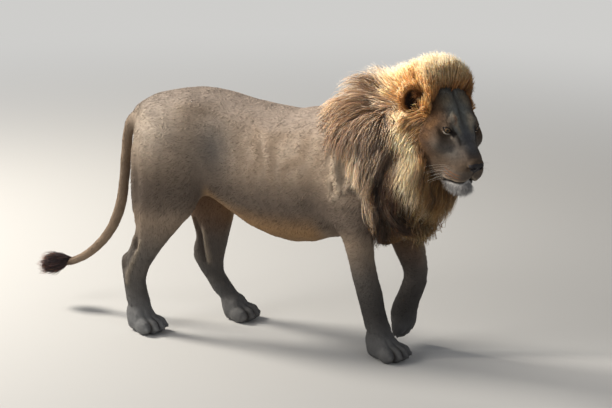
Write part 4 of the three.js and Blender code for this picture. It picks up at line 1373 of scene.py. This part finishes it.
path = comb(roots, root_way, length, depth, MANE_STEPS, (1 - crown) * (1 - 0.6 * upright(m)), 72)

# the locks gather into clumps towards their tips
leader = draw.integers(0, LOCKS, CLUMPS)
nearest = np.concatenate([((some[:, None] - roots[leader][None]) ** 2).sum(-1).argmin(1)
                          for some in np.split(roots, range(2000, LOCKS, 2000))])
guide = path[leader][nearest]
along = np.linspace(0, 1, MANE_STEPS + 1)
gather = (along**1.6 * 0.55)[None, :, None] * draw.uniform(0.3, 1, (LOCKS, 1, 1))
near_guide = np.linalg.norm(path[:, :1] - guide[:, :1], axis=-1, keepdims=True) < 0.05
path = path + (guide - path) * gather * near_guide
profile = np.interp(np.linspace(0, 1, MANE_STEPS), [0, 0.2, 0.6, 1], [0.55, 1.0, 0.9, 0.5])
wide = profile * (draw.uniform(0.0010, 0.0024, LOCKS) * (1 + 0.25 * crown))[:, None]

# their colours: darker at the root, uneven from clump to clump, even where they are pale
middle = path[:, 3]
hue = mane_markings(in_lion(middle), in_head(middle))
fade = np.interp(along, [0, 0.35, 0.75, 1], [0.45, 0.78, 1.0, 1.12])
pale = ease(hue.mean(1), 0.3, 0.6)
even = np.clip(0.55 * crown + 0.6 * pale + 1 - covered, 0, 1)[:, None]
varied = draw.normal(0, 0.26, CLUMPS)[nearest][:, None] + draw.normal(0, 0.18, (LOCKS, 1))
hue = hue * (1 + varied * (1 - 0.5 * even)) * draw.normal(1, 0.03, (LOCKS, 3))
hues = hue[:, None] * (fade[None] + (1 - fade[None]) * 0.8 * even)[..., None]
brown_root = ((crown * ease(hx, -350, -290))[:, None] * (1 - along[None] ** 0.8))[..., None]
hues = hues + (tone("6E4420") - hues) * brown_root * 0.85
hues = np.clip(hues * np.minimum(1, 0.9 / hues.max(-1, keepdims=True)), 0.002, 0.95)
right, left = (near_head > 0.4) & (m[:, 1] < -80), near_head > 0.4
part = np.select([crown > 0.5, right, left, m[:, 1] < -90, m[:, 1] > 90],
                 ["crown", "right_ruff", "left_ruff", "right_neck", "left_neck"], "nape_and_chest")
for name in np.unique(part):
    those = np.flatnonzero(part == name)
    for n, these in enumerate(np.array_split(those, len(those) // PIECE + 1)):
        tufts(f"mane_{name}_{n + 1}", path[these], wide[these], 0.6, hues[these], "mane", mane_finish,
              ("neck_mane",) if name == "crown" and n == 0 else ())


# ---- The short coat ----
# Short hair over the whole hide, lying flat: thin overlapping tufts, finest on face and paws, longer under
# the belly, behind the thighs and elbows, on the cheeks and chin and round the ears.
COAT_RINGS = 2


def short_coat(name, weight, count, long, thin, seed, lift=0.05, shade=0.06, fan=None):
    """Tufts sown over the hide by weight. Each follows the lie of the hair, or the `fan`, bowed a little off
    the skin towards its tip. `long` and `thin` give the length and half width in mm at each root."""
    draw = np.random.default_rng(seed)
    root, way_out, _ = rooted(weight, count, draw)
    m, q = in_lion(root), in_head(root)
    along = hair_lie(root, way_out)
    across = np.cross(along, way_out)
    swirl = across * (0.22 * waves(m, 120, seed + 1))[:, None]
    along = unit(along + across * draw.normal(0, 0.09, (count, 1)) + swirl)
    if fan is not None:
        along = fan(q, draw)
    length = long(m, q) * draw.uniform(0.7, 1.25, count) / 1000
    half = thin(m, q) * draw.uniform(0.75, 1.25, count) / 1000
    lift = lift * draw.uniform(0.5, 1.4, (count, 1))
    steps = np.linspace(0, 1, COAT_RINGS + 1)
    path = np.stack([root + (along * t + way_out * (lift * t * (1.6 - 0.6 * t))) * length[:, None]
                     - way_out * 0.0003 for t in steps], 1)
    wide = np.array([0.75, 1.0])[None] * half[:, None]
    hue = coat_markings(root, way_out) * draw.normal(1, shade, (count, 1)) * draw.normal(1, 0.02, (count, 3))
    hues = np.clip(hue[:, None] * np.array([0.94, 1.0, 1.08])[None, :, None], 0.002, 0.95)
    return tufts(name, path, wide, 0.3, hues, "coat", coat_finish, out=way_out)


pelt = Shader("coat hair")
mottle = pelt.value("TexNoise", 0, Vector=pelt.here(), Scale=70.0, Detail=3.0)
coat_finish = pelt.finish(Base_Color=pelt.painted(0.7 + mottle * 0.6), Roughness=0.66 + mottle * 0.2,
                          Specular_IOR_Level=0.25)
m, q = in_lion(skin_points), mirrored(in_head(skin_points))
x, y, z = m.T
hx, hy, hz = q.T
bare = 1 - np.clip(cover * 1.2, 0, 1)
on_head = (hx > -420) & (np.abs(hz) < 215) & (hy < 215)
across, up, away = eye_angles(q)
off_eyes = np.where(away < 40, ease(past_lids(across, up), 3, 12), 1)
off_nose = ease(np.linalg.norm((q - np.array((-12, 8, -6))) / np.array((1, 1.25, 1)), axis=1), 30, 36)
near_ear = on_head & (ear_form(q) < 7)
trunk_here = (z > 560) & ~on_head & (x > -815)
limb_here = (z <= 560) & (x > -830)
tail_here = ~(trunk_here | limb_here | on_head)


def body_long(m, q):
    x, z = m[:, 0], m[:, 2]
    belly = ease(z, 600, 500) * (x > -420) * (z > 430)
    rear = ease(x, -700, -760) * (z > 480)
    return 19 + 7 * belly + 7 * rear + 6 * ease(x, 90, 230)


def leg_long(m, q):
    return np.interp(m[:, 2], [0, 60, 130, 400, 560], [7, 9, 12, 15, 19])


def leg_thin(m, q):
    return np.interp(m[:, 2], [0, 130, 400], [0.9, 1.1, 1.4])


def face_long(m, q):
    throat = ease(q[:, 2], -112, -136) * (q[:, 0] < -22)
    return np.interp(q[:, 0], [-330, -240, -180, -60, 0], [20, 13, 8.5, 5.5, 4]) + 13 * throat


def face_thin(m, q):
    return np.interp(q[:, 0], [-330, -200, 0], [0.95, 0.65, 0.5])


def ear_fan(q, draw):
    """Ear hair points out from the rim and across the bowl."""
    p = in_ear(mirrored(q))
    fan = unit(np.stack([np.full(len(p), 0.2), p[:, 1], p[:, 2] + 8], -1)) @ EAR_TURN.T
    return unit((fan * to_side(q)) @ HEAD_TURN.T + draw.normal(0, 0.2, q.shape))


short_coat("coat_back_and_flanks", bare * trunk_here * (y <= 0), 15000, body_long, lambda m, q: 1.3, 81)
short_coat("coat_left_side", bare * trunk_here * (y > 0), 11500, body_long, lambda m, q: 1.3, 82)
short_coat("coat_legs", bare * limb_here * ease(z, 3, 12), 14000, leg_long, leg_thin, 83)
short_coat("coat_tail", bare * tail_here, 3500, lambda m, q: 15 + 14 * ease(m[:, 0], -1060, -1180),
           lambda m, q: 1.3, 84)
short_coat("coat_face", bare * on_head * ~near_ear * off_eyes * off_nose, 16000, face_long, face_thin, 85,
           lift=0.17, shade=0.17)
short_coat("coat_ears", near_ear * ease(bowl_depth(q)[0] / EAR["bowl"], 0.95, 0.5), 4200,
           lambda m, q: 17, lambda m, q: 0.7, 86, lift=0.35, fan=ear_fan)

FRINGE = 460
draw = np.random.default_rng(87)
p = in_ear(q)
root, _, _ = rooted(near_ear * ease(p[:, 1], -12, -34) * ease(p[:, 0], -16, -4), FRINGE, draw)
aim = np.array([0.55, 0.75, 0.25]) + draw.normal(0, 0.22, (FRINGE, 3))
aim = unit((aim @ EAR_TURN.T * to_side(in_head(root))) @ HEAD_TURN.T)[:, None]
steps = np.linspace(0, 1, 5)[None, :, None]
long = draw.uniform(0.024, 0.042, FRINGE)[:, None, None]
path = root[:, None] + (aim * steps - np.array([0, 0, 0.35]) * steps**2) * long
wide = np.array([0.8, 1.0, 0.8, 0.5])[None] * draw.uniform(0.6, 1.2, (FRINGE, 1)) / 1000
hue = tone("6E4624") * draw.uniform(0.5, 1.3, (FRINGE, 1))
hues = hue[:, None] * np.linspace(0.6, 1.15, 5)[None, :, None]
tufts("ear_fringe", path, wide, 0.6, hues, "coat", coat_finish)

CHIN_TUFTS = 1300
draw = np.random.default_rng(88)
chin = ease(mouth_line(q)[1], -13, -20) * ease(hx, -132, -104) * ease(hx, -12, -24) * on_head * (hy < 66)
root, way_out, _ = rooted(chin, CHIN_TUFTS, draw)
aim = unit(way_out * 0.5 + np.array([0, 0, -1.0]) + draw.normal(0, 0.18, (CHIN_TUFTS, 3)))
long = np.linspace(0, 1, 4)[None, :] * draw.uniform(0.014, 0.034, (CHIN_TUFTS, 1))
path = root[:, None] - way_out[:, None] * 0.001 + aim[:, None] * long[..., None]
wide = np.array([0.8, 1.0, 0.6])[None] * draw.uniform(0.6, 1.2, (CHIN_TUFTS, 1)) / 1000
hue = coat_markings(root, way_out) * draw.uniform(0.85, 1.15, (CHIN_TUFTS, 1))
hues = hue[:, None] * np.linspace(0.8, 1.1, 4)[None, :, None]
tufts("chin_hair", path, wide, 0.6, hues, "coat", coat_finish, out=way_out)


# ---- The tail tuft ----
# A brush of stiff dark hair, 150 to 200 mm long, that hides the tail's last joints and lies along its line.
tuft_low, tuft_high = (in_lion(np.array(v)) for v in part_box("tail_tuft"))
BRISTLES, BRISTLE_STEPS = 2400, 4
draw = np.random.default_rng(91)
from_end = draw.random(BRISTLES) ** 0.8
spin = draw.uniform(0, 2 * np.pi, BRISTLES)
none = np.zeros(BRISTLES)
x = np.interp(from_end, [0, 1], [tuft_high[0] + 25, tuft_low[0] + 95])
z = np.interp(-x, [-tuft_high[0] - 40, -tuft_high[0], -tuft_low[0]], [232, 218, 180])
core = np.interp(from_end, [0, 0.5, 1], [10, 20, 12])[:, None, None]
steps = np.linspace(0, 1, BRISTLE_STEPS + 1)
bow = np.sin(np.pi * steps * 0.8)[None, :, None]
long = (draw.uniform(0.75, 1.1, BRISTLES) * np.interp(from_end, [0, 1], [95, 92]))[:, None, None]
belly = draw.uniform(0.25, 1, (BRISTLES, 1, 1)) * np.interp(from_end, [0, 0.5, 1], [8, 24, 20])[:, None, None]
slope_down = np.interp(-x, [-tuft_high[0], -tuft_low[0]], [0.30, 0.06])
way = np.stack([-np.cos(slope_down), none, -np.sin(slope_down)], -1) + draw.normal(0, 0.12, (BRISTLES, 3))
spread = np.stack([none, np.cos(spin), np.sin(spin)], -1)[:, None] * (core + belly * bow)
path = np.stack([x, none, z], -1)[:, None] + spread + way[:, None] * (steps[None, :, None] * long)
path[..., 0] = np.maximum(path[..., 0], tuft_low[0] - 8)
path = lion_origin + path / 1000
wide = np.array([0.7, 1.0, 0.9, 0.55])[None] * draw.uniform(1.1, 1.9, (BRISTLES, 1)) / 1000
hue = tone("21171A") * draw.uniform(0.55, 1.5, (BRISTLES, 1)) * draw.normal(1, 0.06, (BRISTLES, 3))
brown = (draw.random((BRISTLES, 1)) < 0.22) * steps[None]
hues = np.clip(hue[:, None] + (tone("54362C") - hue[:, None]) * brown[..., None] * 0.8, 0.003, 0.9)
tufts("tail_brush", path, wide, 0.6, hues, "tail_tuft", mane_finish, ("tail_tuft",))


# ---- The whiskers ----
# Stiff white bristles in four rows on each whisker pad, rooted in the skin. They point out, back and down,
# and sag a little towards their tips.
WHISKERS, ROWS = 20, 4
draw = np.random.default_rng(95)
number = np.arange(WHISKERS)
row, rank = (number // 2) % ROWS, number // (2 * ROWS)
near = np.stack([-58.0 - 13 * rank - 4 * row, 62.0 - 2 * rank, -78 + 13.0 * row], -1)
aim = np.stack([-0.42 - 0.12 * rank, np.full(WHISKERS, 0.85), -0.30 + 0.10 * row], -1)
aim = unit(aim + draw.normal(0, 0.08, (WHISKERS, 3)))
side = np.where(number % 2 == 0, -1.0, 1.0)
near[:, 1] *= side
aim[:, 1] *= side
start = out_of_head(near)
middle = out_of_head(near * [1, 0, 1])
for _ in range(4):
    start = start - (start - middle) * np.clip(skin_field(start) * 14, -0.2, 0.2)[:, None]
steps = np.linspace(0, 1, 6)[None, :, None]
long = draw.uniform(70, 120, WHISKERS)[:, None, None] / 1000
path = start[:, None] + ((aim @ HEAD_TURN.T)[:, None] * steps + np.array([0, 0, -0.30]) * steps**2) * long
wide = np.linspace(0.00045, 0.00025, 5)[None] * np.ones((WHISKERS, 1))
hues = np.tile(tone("BDB5AA"), (WHISKERS, 6, 1))
tufts("whiskers", path, wide, 1.0, hues, "coat", coat_finish)
